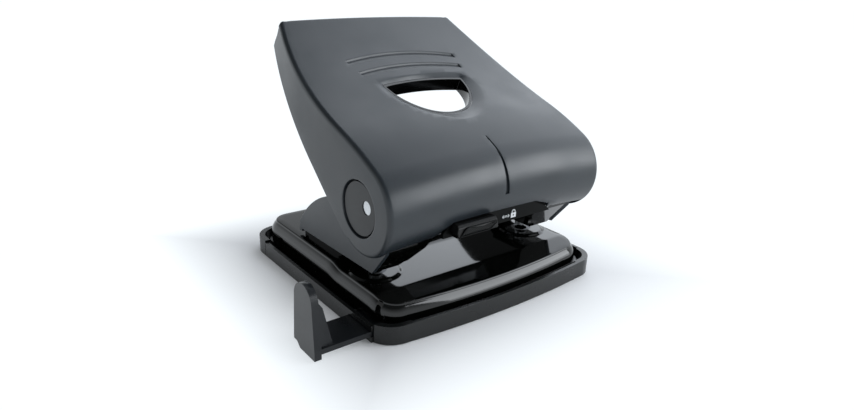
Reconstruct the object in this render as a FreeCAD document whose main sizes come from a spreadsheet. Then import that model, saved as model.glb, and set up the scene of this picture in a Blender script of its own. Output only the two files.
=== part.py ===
"""Two-hole desk punch with a hinged hand lever, sliding lever lock, pull-out paper guide and chip pan.

Millimetres.  +X to the right, +Y to the back, +Z up.  The origin is the middle of the underside.
"""
import FreeCAD, Part
import math
import os
from FreeCAD import Placement, Rotation, Vector

SIZES = [
    # name, value, note
    ("tray_margin", 17.65, "from a punch hole to the side of the tray"),
    ("tray_depth", 109.0, "tray, between its straight corner lines"),
    ("tray_bow", 2.6, "bulge of the tray's front edge"),
    ("tray_corner", 11.0, "plan radius of the tray corners"),
    ("rim_height", 7.3, "top of the tray rim"),
    ("rim_wall", 1.4, "thin stretches of the rim"),
    ("rim_corner_wall", 2.5, "rim at the corners"),
    ("rim_thin_half", 44.0, "half length of the thin front stretch"),
    ("tray_floor", 1.4, "floor of the rim channel"),
    ("moat", 2.2, "gap between rim and plate skirt"),
    ("plate_seat", 5.0, "height of the plate's lower edge"),
    ("pan_front_margin", 7.1, "from the front of the tray to the chip pan"),
    ("pan_rear_margin", 14.9, "from the back of the tray to the chip pan"),
    ("pan_gap", 0.3, "running gap round the pan"),
    ("pan_lift", 0.0, "underside of the pan above the ground"),
    ("pan_floor", 1.4, "thickness of the pan floor"),
    ("pan_wall", 1.5, "thickness of the pan's left wall"),
    ("pan_wall_top", 6.5, "top of the pan's left wall"),
    ("pan_barrel", 2.1, "radius of the pan's hinge barrel"),
    ("pan_hinge_margin", 11.25, "from the side of the tray to the pan's hinge"),
    ("lug_length", 3.0, "lugs that hold the pan's hinge pins"),
    ("hinge_pin", 1.0, "radius of the pan's hinge pins"),
    ("hinge_pin_reach", 5.0, "length of pin inside the barrel"),
    ("plate_sheet", 1.2, "thickness of the pressed plate"),
    ("plate_front_top", 13.4, "height of the front, low part"),
    ("plate_rear_top", 15.0, "height of the rear, high part"),
    ("plate_corner", 9.5, "plan radius of the plate corners"),
    ("plate_shoulder", 3.2, "radius of the plate's upper edge"),
    ("step_front", -15.5, "front foot of the step"),
    ("step_rear", -7.5, "rear head of the step"),
    ("hole_spacing", 80.0, "ISO 838 distance between holes"),
    ("hole_line", -22.9, "line of the two holes"),
    ("ring_top", 14.2, "top of the ring pressed up round each hole"),
    ("ring_radius", 10.6, "foot of that ring"),
    ("ring_slope", 1.4, "width of the ring's slope"),
    ("pin_radius", 2.75, "punch pin"),
    ("pin_fit", 0.05, "radial running clearance of pins and axle"),
    ("pin_tip", 16.0, "height of the pin tip at rest"),
    ("pin_top", 35.6, "height of the pin's domed head at rest"),
    ("die_flange", 7.5, "radius of the die flange"),
    ("die_collar", 4.4, "radius of the die collar in the plate"),
    ("die_depth", 3.0, "thickness of the die flange"),
    ("washer_radius", 4.0, "spring washer on the pin"),
    ("washer_sheet", 1.0, "thickness of that washer"),
    ("washer_below_top", 1.5, "washer top below the pin top"),
    ("ring_clip", 0.8, "thickness of the retaining ring"),
    ("wire", 0.3, "radius of the return spring wire"),
    ("spring_turns", 4.0, "turns of the return spring"),
    ("toe_line", -33.4, "front toe of the bracket covers"),
    ("toe_height", 18.6, "same, above the ground"),
    ("front_lean", 39.3, "lean of the bracket's front, degrees from upright"),
    ("foot_front", -6.5, "front of the bracket foot"),
    ("foot_rear", 21.5, "back of the bracket foot"),
    ("foot_height", 6.0, "upright back face of the bracket"),
    ("back_line", -3.0, "where the bracket's round back starts"),
    ("back_height", 38.0, "same, above the ground"),
    ("cover_edge", 1.6, "a cover stands past its bracket by this"),
    ("cover_sheet", 1.6, "thickness of a bracket cover"),
    ("bracket_outer_wall", 2.4, "outer wall of a bracket"),
    ("bracket_inner_wall", 2.4, "inner wall of a bracket"),
    ("flange_reach", 28.0, "inner end of a bracket's front flange, from the middle"),
    ("flange_sheet", 2.4, "thickness of that flange"),
    ("peg_radius", 1.2, "pegs of a bracket cover"),
    ("pocket_half", 4.5, "half width of the pocket over the pin"),
    ("nose_bottom", 18.4, "underside of the bracket over the paper"),
    ("web_top", 23.0, "floor of the pocket"),
    ("axle_line", -36.8, "lever axle, from front to back"),
    ("axle_height", 46.6, "lever axle, above the ground"),
    ("axle_radius", 2.5, "lever axle"),
    ("axle_inset", 0.9, "from the lever's side to the end of the axle"),
    ("lobe_radius", 9.0, "bracket round the axle"),
    ("lever_gap", 2.9, "from a bracket cover to the lever's inner side"),
    ("lever_wall", 2.2, "wall of the lever cover"),
    ("side_radius", 229.0, "radius of the lever's drawn-in sides"),
    ("side_draw", 43.0, "slope of the moulding's draw line, degrees from the ground"),
    ("side_start", 32.1, "where they start to draw in, up the lever from the roll"),
    ("roll_line", -34.15, "centre of the lever's front roll"),
    ("roll_height", 45.2, "same, above the ground, at the lever's sides"),
    ("roll_radius", 17.75, "radius of the front roll"),
    ("roll_crown", 2.6, "rise of the roll from the lever's sides to its middle"),
    ("shoulder_angle", 118.4, "where the roll runs into the flatter shoulder, degrees"),
    ("shoulder_radius", 143.0, "radius of the shoulder between roll and hollow"),
    ("top_hollow", 264.0, "radius of the lever top's hollow"),
    ("lever_back", 42.9, "upper rear edge of the lever"),
    ("lever_back_height", 102.1, "same, above the ground, at the lever's sides"),
    ("back_crown", 1.2, "rise of that edge from the sides to the middle"),
    ("tail_run", 4.0, "lever's lower rear edge behind the upper one"),
    ("tail_drop", 10.0, "same, below the upper one"),
    ("lip_angle", 226.0, "where the roll's front lip ends, degrees"),
    ("edge_round", 1.9, "rounding of the lever's long edges"),
    ("cap_line", -32.3, "centre of the round cap"),
    ("cap_height", 45.0, "same, above the ground"),
    ("cap_radius", 10.0, "round cap"),
    ("cap_recess", 0.6, "face of the cap below the lever's side"),
    ("cap_groove", 0.65, "ring groove round the cap"),
    ("hand_line", 1.65, "rear edge of the hand opening"),
    ("hand_length", 22.1, "hand opening, front to back along the top"),
    ("hand_half", 19.4, "half width of the hand opening"),
    ("hand_bevel", 4.5, "width of the dished border of the opening"),
    ("collar_wall", 1.2, "wall of the opening's collar"),
    ("collar_depth", 7.0, "depth of the collar"),
    ("grip_line", 19.0, "rear grip groove, at its ends"),
    ("grip_pitch", 7.2, "distance to the front grip groove"),
    ("grip_half", 28.0, "half length of the rear groove"),
    ("grip_width", 2.2, "width of a groove"),
    ("grip_depth", 0.7, "depth of a groove"),
    ("slit_width", 1.9, "width of the centre slit at its lower end"),
    ("slit_tip", 0.5, "width of the slit at its upper end"),
    ("slit_low", 46.5, "lower end of the slit, above the ground"),
    ("slit_high", 64.7, "upper end of the slit, above the ground"),
    ("slit_depth", 0.9, "depth of the centre slit"),
    ("notch_left", -27.5, "left end of the notch for the slider"),
    ("notch_right", 26.0, "right end of that notch"),
    ("notch_top", 39.6, "top of the notch"),
    ("lock_face", -49.4, "front of the flat lock face in the notch"),
    ("face_sheet", 1.4, "thickness of the lock face"),
    ("liner_sheet", 2.0, "thickness of the liner"),
    ("liner_gap", 0.7, "from the roll's inner face to the liner"),
    ("cam_width", 6.0, "thickness of a cam arm"),
    ("cam_hub", 6.2, "radius of the cam arm round the axle"),
    ("press_angle", 27.0, "stroke of the lever, degrees"),
    ("press_sheet", 2.0, "thickness of the press lever's web"),
    ("web_set", 7.0, "web's rear edge behind the end of the cam"),
    ("web_rise", 21.0, "web's rear edge above the end of the cam"),
    ("web_depth", 12.0, "depth of the web, front to back"),
    ("web_over_hub", 3.5, "arm's upper edge over the hub"),
    ("boss_thread", 6.5, "thread of the lever screws above the web"),
    ("boss_radius", 3.2, "screw bosses under the lever's top"),
    ("boss_spacing", 44.0, "distance between those bosses"),
    ("slider_middle", -15.6, "middle of the slider's thumb face"),
    ("slider_half", 9.8, "half length of the thumb face"),
    ("slider_front", -54.2, "front of the thumb face"),
    ("slider_low", 34.2, "lower edge of the slider"),
    ("slider_high", 39.2, "upper edge of the slider"),
    ("lock_travel", 10.0, "travel of the slider"),
    ("guide_pull", 22.15, "guide's outer face, from the side of the tray"),
    ("guide_inset", 0.5, "from the front of the pan to the guide"),
    ("guide_width", 14.8, "width of the guide bar"),
    ("guide_top", 26.4, "top of the guide's upright"),
    ("guide_low", 0.3, "lowest point of the guide"),
    ("guide_bar_low", 2.2, "underside of the guide bar"),
    ("guide_bar_top", 4.2, "top of the guide bar"),
    ("guide_sheet", 2.7, "thickness of the upright"),
    ("guide_length", 108.0, "length of the guide bar"),
    ("rail_gap", 0.25, "clearance of the bar in its rails"),
    ("rivet_radius", 1.6, "bracket rivets"),
    ("post_radius", 2.2, "stand-offs under the plate"),
    ("screw_radius", 1.2, "tray and lever screws"),
    ("screw_spacing", 80.0, "distance between the tray screws"),
    ("screw_length", 6.0, "thread of those screws past the head's seat"),
    ("screw_head", 2.8, "head radius of those screws"),
    ("screw_head_height", 1.0, "head height of those screws"),
]

FITS = [
    # sizes that follow from others
    ("tray_width", "Sizes.hole_spacing + 2 * Sizes.tray_margin"),
    ("pan_front", "Sizes.pan_front_margin - Sizes.tray_depth / 2"),
    ("pan_rear", "Sizes.tray_depth / 2 - Sizes.pan_rear_margin"),
    ("pan_hinge_x", "Sizes.hole_spacing / 2 + Sizes.tray_margin - Sizes.pan_hinge_margin"),
    ("bracket_half",
     "Sizes.hole_spacing / 2 + Sizes.pocket_half + Sizes.bracket_outer_wall + Sizes.cover_sheet"),
    ("lever_half", "Fits.bracket_half + Sizes.lever_gap + Sizes.lever_wall"),
    ("liner_front", "Sizes.roll_radius - Sizes.lever_wall - Sizes.liner_gap"),
    ("lever_tail", "Sizes.lever_back + Sizes.tail_run"),
    ("lever_tail_height", "Sizes.lever_back_height - Sizes.tail_drop"),
    ("guide_out", "-Fits.tray_width / 2 - Sizes.guide_pull"),
    ("guide_front", "Fits.pan_front + Sizes.guide_inset"),
    ("guide_rear", "Fits.guide_front + Sizes.guide_width"),
]

doc = FreeCAD.newDocument("desk_punch")
sheet = doc.addObject("Spreadsheet::Sheet", "Sizes")
for row, (alias, value, note) in enumerate(SIZES, start=1):
    sheet.set(f"A{row}", alias)
    sheet.set(f"B{row}", str(value))
    sheet.setAlias(f"B{row}", alias)
    sheet.set(f"C{row}", note)
doc.recompute()
fits = doc.addObject("App::VarSet", "Fits")
for alias, formula in FITS:
    fits.addProperty("App::PropertyFloat", alias)
    fits.setExpression(alias, formula)
doc.recompute()

SUBPARTS = {}
SIDES = (("left", -1), ("right", 1))


def size(alias):
    """A driving dimension from the sheet, or a size that follows from others."""
    if alias in fits.PropertiesList:
        return float(getattr(fits, alias))
    return float(sheet.get(alias))


def keep(label, obj):
    """Name a finished sub-part; its label names its file."""
    obj.Label = label
    SUBPARTS[label] = obj
    return obj


def solid(label, shape):
    """A sub-part with a computed shape."""
    obj = doc.addObject("Part::Feature", label)
    obj.Shape = shape.removeSplitter()
    obj.Placement = Placement()
    return keep(label, obj)


def primitive(kind, name, bindings, rotation=None):
    """A Part primitive whose sizes and place are bound to the sheet."""
    obj = doc.addObject(kind, name)
    if rotation is not None:
        obj.Placement = Placement(Vector(), rotation)
    for prop, formula in bindings.items():
        obj.setExpression(prop, formula)
    return obj


def block(name, x, y, z):
    """A bound box from three (low, high) pairs of formulas."""
    bindings = {}
    for prop, axis, (low, high) in (("Length", "x", x), ("Width", "y", y), ("Height", "z", z)):
        bindings[prop] = f"({high}) - ({low})"
        bindings[f"Placement.Base.{axis}"] = low
    return primitive("Part::Box", name, bindings)


ALONG = {"x": Rotation(Vector(0, 1, 0), 90), "y": Rotation(Vector(1, 0, 0), -90), "z": Rotation()}


def rod(name, radius, length, start, along="z"):
    """A bound cylinder; start holds three formulas."""
    bindings = {"Radius": radius, "Height": length}
    for axis, formula in zip("xyz", start):
        bindings[f"Placement.Base.{axis}"] = formula
    return primitive("Part::Cylinder", name, bindings, ALONG[along])


def fused(name, pieces):
    """One solid from touching pieces."""
    obj = doc.addObject("Part::MultiFuse", name)
    obj.Shapes = pieces
    return obj


def drilled(name, body, tool):
    """A piece with a tool taken out."""
    obj = doc.addObject("Part::Cut", name)
    obj.Base = body
    obj.Tool = tool
    return obj


def group(name, pieces):
    """Separate solids that share one node."""
    obj = doc.addObject("Part::Compound", name)
    obj.Links = pieces
    return obj


# ---------------------------------------------------------------- outlines

def side_view(y, z):
    return Vector(0, y, z)


def plan_view(x, y):
    return Vector(x, y, 0)


def polygon(points):
    return Part.makePolygon(list(points) + [points[0]])


def face_of(edges):
    return Part.Face(Part.Wire(Part.__sortEdges__(edges)))


def line(a, b):
    return Part.LineSegment(a, b).toShape()


def arc(a, b, c):
    return Part.Arc(a, b, c).toShape()


def polar(centre, radius, degrees):
    """A point in side view, at an angle from +Y towards +Z."""
    turn = math.radians(degrees)
    return centre + Vector(0, radius * math.cos(turn), radius * math.sin(turn))


def across(face, low, high):
    """A side-view face swept from x = low to x = high."""
    swept = face.copy()
    swept.translate(Vector(low, 0, 0))
    return swept.extrude(Vector(high - low, 0, 0))


def upright(face, low, high):
    """A plan-view face swept from z = low to z = high."""
    swept = face.copy()
    swept.translate(Vector(0, 0, low))
    return swept.extrude(Vector(0, 0, high - low))


def box(x, y, z):
    return Part.makeBox(x[1] - x[0], y[1] - y[0], z[1] - z[0], Vector(x[0], y[0], z[0]))


def disc(radius, low, high, x, y):
    return Part.makeCylinder(radius, high - low, Vector(x, y, low))


def cross_rod(radius, low, high, y, z):
    return Part.makeCylinder(radius, high - low, Vector(low, y, z), Vector(1, 0, 0))


def mirrored(shape, side):
    """The right-hand shape itself, or its left-hand twin."""
    return shape if side > 0 else shape.mirror(Vector(), Vector(1, 0, 0))


def rounded_plan(half, front, rear, corner, bow):
    """Plan outline of tray and plate: round corners and a bowed front edge."""
    slant = corner * (1 - math.sqrt(0.5))
    points = {
        "front_left": plan_view(-half + corner, front),
        "front_right": plan_view(half - corner, front),
        "right_front": plan_view(half, front + corner),
        "right_rear": plan_view(half, rear - corner),
        "rear_right": plan_view(half - corner, rear),
        "rear_left": plan_view(-half + corner, rear),
        "left_rear": plan_view(-half, rear - corner),
        "left_front": plan_view(-half, front + corner),
    }
    edges = [
        arc(points["front_left"], plan_view(0, front - bow), points["front_right"]),
        arc(points["front_right"], plan_view(half - slant, front + slant), points["right_front"]),
        line(points["right_front"], points["right_rear"]),
        arc(points["right_rear"], plan_view(half - slant, rear - slant), points["rear_right"]),
        line(points["rear_right"], points["rear_left"]),
        arc(points["rear_left"], plan_view(-half + slant, rear - slant), points["left_rear"]),
        line(points["left_rear"], points["left_front"]),
        arc(points["left_front"], plan_view(-half + slant, front + slant), points["front_left"]),
    ]
    return face_of(edges)


def tray_plan(inset):
    """The tray outline moved in by a distance."""
    half = size("tray_width") / 2 - inset
    reach = size("tray_depth") / 2 - inset
    corner = max(size("tray_corner") - inset, 1.0)
    return rounded_plan(half, -reach, reach, corner, size("tray_bow"))


# ---------------------------------------------------------------- tray and chip pan

def skirt_inset():
    """From the tray's outer face to the outer face of the plate skirt."""
    return size("rim_corner_wall") + size("moat")


def make_tray_frame():
    rim_top = size("rim_height")
    frame = upright(tray_plan(0), 0, rim_top)
    frame = frame.cut(upright(tray_plan(size("rim_corner_wall")), size("tray_floor"), rim_top + 1))
    seat_outer = tray_plan(skirt_inset())
    seat_inner = tray_plan(skirt_inset() + size("plate_sheet"))
    seat = upright(seat_outer, 0, size("plate_seat")).cut(upright(seat_inner, -1, rim_top))
    frame = frame.fuse(seat)
    far = size("tray_width")
    thin = size("rim_corner_wall") - size("rim_wall")
    thin_half = size("rim_thin_half")
    relief = upright(tray_plan(size("rim_wall")), size("tray_floor"), rim_top + 1)
    relief = relief.cut(upright(tray_plan(size("rim_corner_wall") + thin), 0, rim_top + 2))
    span = box((-thin_half, thin_half), (-far, far), (0, far))
    span = span.fuse(box((0, far), (-thin_half, thin_half), (0, far)))
    frame = frame.cut(relief.common(span))
    gap = size("pan_gap")
    opening = box((-far, size("pan_hinge_x") + size("pan_barrel") + gap),
                  (size("pan_front") - gap, size("pan_rear") + gap), (-1, rim_top + 1))
    frame = frame.cut(opening)
    lug_half = size("pan_barrel")
    for y_low, y_high in pan_lug_spans():
        lug = box((size("pan_hinge_x") - lug_half, size("pan_hinge_x") + lug_half),
                  (y_low, y_high), (0, size("plate_seat") - 0.4))
        start = Vector(size("pan_hinge_x"), y_low, pan_axis_height())
        hole = Part.makeCylinder(size("hinge_pin"), y_high - y_low, start,
                                 Vector(0, 1, 0))
        frame = frame.fuse(lug).cut(hole)
    for x in tray_screw_places():
        frame = frame.cut(disc(size("screw_radius") + 0.15, -1, size("tray_floor") + 1, x, tray_screw_line()))
        frame = frame.cut(disc(size("screw_head") + 0.2, -1, size("screw_head_height"), x, tray_screw_line()))
    return solid("tray_frame", frame)


def pan_axis_height():
    return size("pan_lift") + size("pan_barrel")


def pan_lug_spans():
    """Front and rear lugs that hold the pan's hinge pins."""
    front = size("pan_front") - size("pan_gap")
    rear = size("pan_rear") + size("pan_gap")
    return (front - size("lug_length"), front), (rear, rear + size("lug_length"))


def tray_screw_places():
    return (-size("screw_spacing") / 2, size("screw_spacing") / 2)


def tray_screw_line():
    """Tray screws sit halfway along the rear floor of the tray."""
    seat_inside = size("tray_depth") / 2 - skirt_inset() - size("plate_sheet")
    return (size("pan_rear") + size("pan_gap") + seat_inside) / 2 - 1.0


def make_chip_pan():
    low = size("pan_lift")
    floor_top = low + size("pan_floor")
    left = -size("tray_width") / 2
    front, rear = size("pan_front"), size("pan_rear")
    hinge_x = size("pan_hinge_x")
    pan = box((left, hinge_x), (front, rear), (low, floor_top))
    wall_top = size("pan_wall_top")
    wall = box((left, left + size("pan_wall")), (front, rear), (low, wall_top))
    bevel = polygon([Vector(left - 1, 0, wall_top + 1), Vector(left - 1, 0, wall_top - 0.6),
                     Vector(left + 0.9, 0, wall_top + 1)])
    bevel_cut = Part.Face(bevel)
    bevel_cut.translate(Vector(0, front - 1, 0))
    wall = wall.cut(bevel_cut.extrude(Vector(0, rear - front + 2, 0)))
    barrel = Part.makeCylinder(size("pan_barrel"), rear - front, Vector(hinge_x, front, pan_axis_height()),
                               Vector(0, 1, 0))
    pan = pan.fuse([wall, barrel])
    for y_end in (front, rear):
        inward = 1 if y_end == front else -1
        bore = Part.makeCylinder(size("hinge_pin") + size("pin_fit"), size("hinge_pin_reach") + 0.5,
                                 Vector(hinge_x, y_end, pan_axis_height()), Vector(0, inward, 0))
        pan = pan.cut(bore)
    clear = size("rail_gap")
    bar_low, bar_top = size("guide_bar_low"), size("guide_bar_top")
    bar_front, bar_rear = size("guide_front"), size("guide_rear")
    rail_end = hinge_x - 10
    rail_start = left + size("pan_wall")
    for side_y, outward in ((bar_front - clear, -1), (bar_rear + clear, 1)):
        y_pair = sorted((side_y, side_y + outward * 1.5))
        if outward < 0:
            y_pair[0] = max(y_pair[0], front)
        rail = box((rail_start, rail_end), y_pair, (floor_top, bar_top + clear))
        lip_pair = sorted((side_y + outward * 0.3, side_y - outward * 1.2))
        lip = box((rail_start + 11, rail_end), lip_pair, (bar_top + clear, bar_top + clear + 1.0))
        pan = pan.fuse([rail, lip])
    seat = box((rail_start, rail_end), (bar_front - clear, bar_rear + clear), (floor_top, bar_low - 0.1))
    pan = pan.fuse(seat)
    notch = box((left - 1, rail_start + 0.1), (front - 1, bar_rear + clear), (bar_low - 0.1, bar_top + clear))
    pan = pan.cut(notch)
    return solid("chip_pan", pan)


def make_hinge_pins():
    pins = []
    starts = ("Fits.pan_front - Sizes.pan_gap - Sizes.lug_length", "Fits.pan_rear - Sizes.hinge_pin_reach")
    for index, start in enumerate(starts):
        pins.append(rod(f"hinge_pin_{index + 1}", "Sizes.hinge_pin",
                        "Sizes.lug_length + Sizes.pan_gap + Sizes.hinge_pin_reach",
                        ("Fits.pan_hinge_x", start, "Sizes.pan_lift + Sizes.pan_barrel"), "y"))
    return keep("pan_hinge_pins", group("pan_hinge_pins", pins))


# ---------------------------------------------------------------- base plate and dies

def plate_profile(drop):
    """Side view of the plate's upper surface, moved down by drop, closed well below."""
    low_z = size("plate_front_top") - drop
    high_z = size("plate_rear_top") - drop
    y0, y3 = size("step_front"), size("step_rear")
    middle = side_view((y0 + y3) / 2, (low_z + high_z) / 2)
    far = size("tray_depth")
    bend = (y3 - y0) / 4
    sag = (high_z - low_z) / 7
    edges = [
        line(side_view(-far, low_z), side_view(y0, low_z)),
        arc(side_view(y0, low_z), side_view(y0 + bend, low_z + sag), middle),
        arc(middle, side_view(y3 - bend, high_z - sag), side_view(y3, high_z)),
        line(side_view(y3, high_z), side_view(far, high_z)),
        line(side_view(far, high_z), side_view(far, -far)),
        line(side_view(far, -far), side_view(-far, -far)),
        line(side_view(-far, -far), side_view(-far, low_z)),
    ]
    return face_of(edges)


def plate_block(inset, drop, round_edge, bottom):
    """The plate as a full block with a rounded upper edge."""
    half = size("tray_width") / 2 - skirt_inset() - inset
    reach = size("tray_depth") / 2 - skirt_inset() - inset
    corner = size("plate_corner") - inset
    plan = rounded_plan(half, -reach, reach, corner, size("tray_bow"))
    blank = upright(plan, bottom, size("plate_rear_top") + 5)
    far = size("tray_width")
    blank = blank.common(across(plate_profile(drop), -far, far))
    lowest_top = size("plate_front_top") - drop - 0.5
    rim = [edge for edge in blank.Edges if edge.BoundBox.ZMin > lowest_top and on_border(edge, half, reach)]
    return blank.makeFillet(round_edge, rim)


def on_border(edge, half, reach):
    """Whether an upper edge runs along the outline rather than across the step."""
    middle = edge.valueAt((edge.FirstParameter + edge.LastParameter) / 2)
    return abs(middle.x) > half * 0.6 or abs(middle.y) > reach * 0.8


def hole_places():
    return [(side * size("hole_spacing") / 2, size("hole_line")) for _, side in SIDES]


def ring_cone(grow, drop):
    """The raised ring round a hole, as a low cone."""
    top = size("ring_top") - drop
    foot = size("plate_front_top") - drop
    return size("ring_radius") + grow, size("ring_radius") + grow - size("ring_slope"), foot, top


def make_base_plate():
    sheet_gauge = size("plate_sheet")
    outer = plate_block(0, 0, size("plate_shoulder"), size("plate_seat"))
    inner = plate_block(sheet_gauge, sheet_gauge, size("plate_shoulder") - sheet_gauge, 0)
    for x, y in hole_places():
        wide, narrow, foot, top = ring_cone(0, 0)
        outer = outer.fuse(Part.makeCone(wide, narrow, top - foot, Vector(x, y, foot)))
        wide, narrow, foot, top = ring_cone(-sheet_gauge, sheet_gauge)
        inner = inner.fuse(Part.makeCone(wide, narrow, top - foot, Vector(x, y, foot)))
    plate = outer.cut(inner)
    for x, y in hole_places():
        plate = plate.cut(disc(size("die_collar") + size("pin_fit"), 0, size("plate_rear_top") + 5, x, y))
    for x, y in rivet_places():
        plate = plate.cut(disc(size("rivet_radius") + size("pin_fit"), 0, size("plate_rear_top") + 5, x, y))
    return solid("base_plate", plate)


def make_dies():
    for name, side in SIDES:
        seat = "Sizes.ring_top - Sizes.plate_sheet"
        place = (f"{side} * Sizes.hole_spacing / 2", "Sizes.hole_line")
        flange = rod(f"die_flange_{name}", "Sizes.die_flange", "Sizes.die_depth",
                     (*place, f"{seat} - Sizes.die_depth"))
        collar = rod(f"die_collar_{name}", "Sizes.die_collar", "Sizes.die_depth + Sizes.plate_sheet - 0.2",
                     (*place, f"{seat} - Sizes.die_depth"))
        bore = rod(f"die_bore_{name}", "Sizes.pin_radius + Sizes.pin_fit", "Sizes.die_depth * 4",
                   (*place, f"{seat} - Sizes.die_depth * 2"))
        keep(f"die_{name}", drilled(f"die_{name}", fused(f"die_blank_{name}", [flange, collar]), bore))


def make_plate_standoffs():
    posts = []
    top = size("plate_rear_top") - size("plate_sheet")
    thread_end = size("tray_floor") + size("screw_length") + 2
    for x in tray_screw_places():
        post = disc(size("post_radius"), size("tray_floor"), top, x, tray_screw_line())
        posts.append(post.cut(disc(size("screw_radius"), 0, thread_end, x, tray_screw_line())))
    return solid_group("plate_standoffs", posts)


def solid_group(label, shapes):
    obj = doc.addObject("Part::Feature", label)
    obj.Shape = Part.makeCompound(shapes)
    obj.Placement = Placement()
    return keep(label, obj)


def make_tray_screws():
    screws = []
    for x in tray_screw_places():
        tip = size("tray_floor") + size("screw_length")
        shank = disc(size("screw_radius"), 0.2, tip, x, tray_screw_line())
        head = disc(size("screw_head"), 0.2, size("screw_head_height"), x, tray_screw_line())
        screw = shank.fuse(head)
        slot = box((x - size("screw_head"), x + size("screw_head")),
                   (tray_screw_line() - 0.3, tray_screw_line() + 0.3), (0, 0.7))
        screws.append(screw.cut(slot))
    return solid_group("tray_screws", screws)


# ---------------------------------------------------------------- brackets

def axle():
    return side_view(size("axle_line"), size("axle_height"))


def front_slope(height, back=0.0):
    """A point on the sloping front of bracket and cover, or behind it."""
    rise = (height - size("toe_height")) * math.tan(math.radians(size("front_lean")))
    return side_view(size("toe_line") - rise + back, height)


def bracket_setback():
    """How far the bracket's front face lies behind the cover's."""
    return size("cover_edge") - 0.6


def throat_corner():
    """Where the underside of the bracket's nose turns down to its foot."""
    return side_view(size("foot_front") - 6, size("nose_bottom"))


def bracket_profile():
    """Side view of a bracket: foot, paper throat, sloping front, axle lobe and round back."""
    seat = size("plate_rear_top")
    lobe = size("lobe_radius")
    centre = axle()
    rear = size("foot_rear")
    lobe_front = polar(centre, lobe, 205)
    lobe_back = polar(centre, lobe, 45)
    back_top = side_view(size("back_line"), size("back_height"))
    back_low = side_view(rear, seat + size("foot_height"))
    bulge = (back_top + back_low) * 0.5 + Vector(0, 1.75, 2.0)
    knee = front_slope(size("toe_height") + 11.4, bracket_setback())
    toe = front_slope(size("nose_bottom"), bracket_setback())
    edges = [
        line(side_view(size("foot_front"), seat), side_view(rear, seat)),
        line(side_view(rear, seat), back_low),
        arc(back_low, bulge, back_top),
        line(back_top, lobe_back),
        arc(lobe_back, polar(centre, lobe, 120), lobe_front),
        line(lobe_front, knee),
        line(knee, toe),
        line(toe, throat_corner()),
        line(throat_corner(), side_view(size("foot_front"), seat)),
    ]
    return face_of(edges)


def pocket_profile():
    """Side view of the pocket over the pin: it leaves a front wall and is open above."""
    floor = size("web_top")
    wall = bracket_setback() + size("flange_sheet")
    open_height = floor + 13
    rear = size("foot_rear") - 4.5
    high = size("axle_height") * 2
    far = 2 * size("axle_line")
    points = [front_slope(floor, wall), front_slope(open_height, wall), side_view(far, open_height + 4),
              side_view(far, high), side_view(rear, high), side_view(rear, floor)]
    return Part.Face(polygon(points))


def flange_profile():
    """Side view of the front flange."""
    low = size("nose_bottom")
    high = low + 15.2
    face = bracket_setback()
    wall = face + size("flange_sheet")
    return Part.Face(polygon([front_slope(low, face), front_slope(high, face), front_slope(high, wall),
                              front_slope(low, wall)]))


def flank_profile():
    """Front view of what is cut from the flange's lower inner corner."""
    reach = size("flange_reach")
    nose = size("nose_bottom")
    middle = size("hole_spacing") / 2
    corners = ((reach - 9, nose - 9), (middle - 4.5, nose - 9), (middle - 4.5, nose),
               (middle - 6.0, nose + 1.6), (middle - 7.6, nose + 1.8),
               (reach, nose + 8.0), (reach - 9, nose + 8.0))
    depth = 2 * size("axle_line")
    return Part.Face(polygon([Vector(x, depth, z) for x, z in corners]))


def bracket_span():
    """Inner and outer faces of the right bracket's walls."""
    outer = size("bracket_half") - size("cover_sheet")
    middle = size("hole_spacing") / 2
    return middle - size("pocket_half") - size("bracket_inner_wall"), outer


def make_brackets():
    inner_x, outer_x = bracket_span()
    middle = size("hole_spacing") / 2
    pocket = size("pocket_half")
    shape = across(bracket_profile(), inner_x, outer_x)
    shape = shape.fuse(across(flange_profile(), size("flange_reach"), inner_x + 1))
    shape = shape.cut(across(pocket_profile(), middle - pocket, middle + pocket))
    flank = flank_profile()
    shape = shape.cut(flank.extrude(Vector(0, throat_corner().y - flank.BoundBox.YMin, 0)))
    shape = shape.cut(disc(size("pin_radius") + size("pin_fit"), 0, 60, middle, size("hole_line")))
    axle_hole = cross_rod(size("axle_radius") + size("pin_fit"), 0, 90,
                          size("axle_line"), size("axle_height"))
    shape = shape.cut(axle_hole)
    for x, y in rivet_places():
        if x > 0:
            shape = shape.cut(disc(size("rivet_radius") + size("pin_fit"), 0, size("web_top") + 1, x, y))
    for y, z in peg_places():
        shape = shape.cut(cross_rod(size("peg_radius") + 0.1, middle, outer_x + 1, y, z))
    for name, side in SIDES:
        solid(f"bracket_{name}", mirrored(shape, side))


def peg_places():
    """Side view places of the two pegs that hold a cover to its bracket."""
    height = (size("nose_bottom") + size("web_top")) / 2 + 5.6
    return ((size("toe_line") + 5.4, height), (size("foot_rear") - 13.5, height))


def rivet_places():
    """Two rivets through each bracket foot."""
    lines = (size("foot_front") + 6.5, size("foot_rear") - 9.0)
    return [(side * size("hole_spacing") / 2, y) for _, side in SIDES for y in lines]


def make_bracket_rivets():
    rivets = []
    under = size("plate_rear_top") - size("plate_sheet")
    for x, y in rivet_places():
        rivet = disc(size("rivet_radius"), under - 1, size("web_top"), x, y)
        rivet = rivet.fuse(disc(size("rivet_radius") + 1.2, under - 1, under, x, y))
        rivet = rivet.fuse(disc(size("rivet_radius") + 1.2, size("web_top"), size("web_top") + 1, x, y))
        rivets.append(rivet)
    return solid_group("bracket_rivets", rivets)


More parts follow.
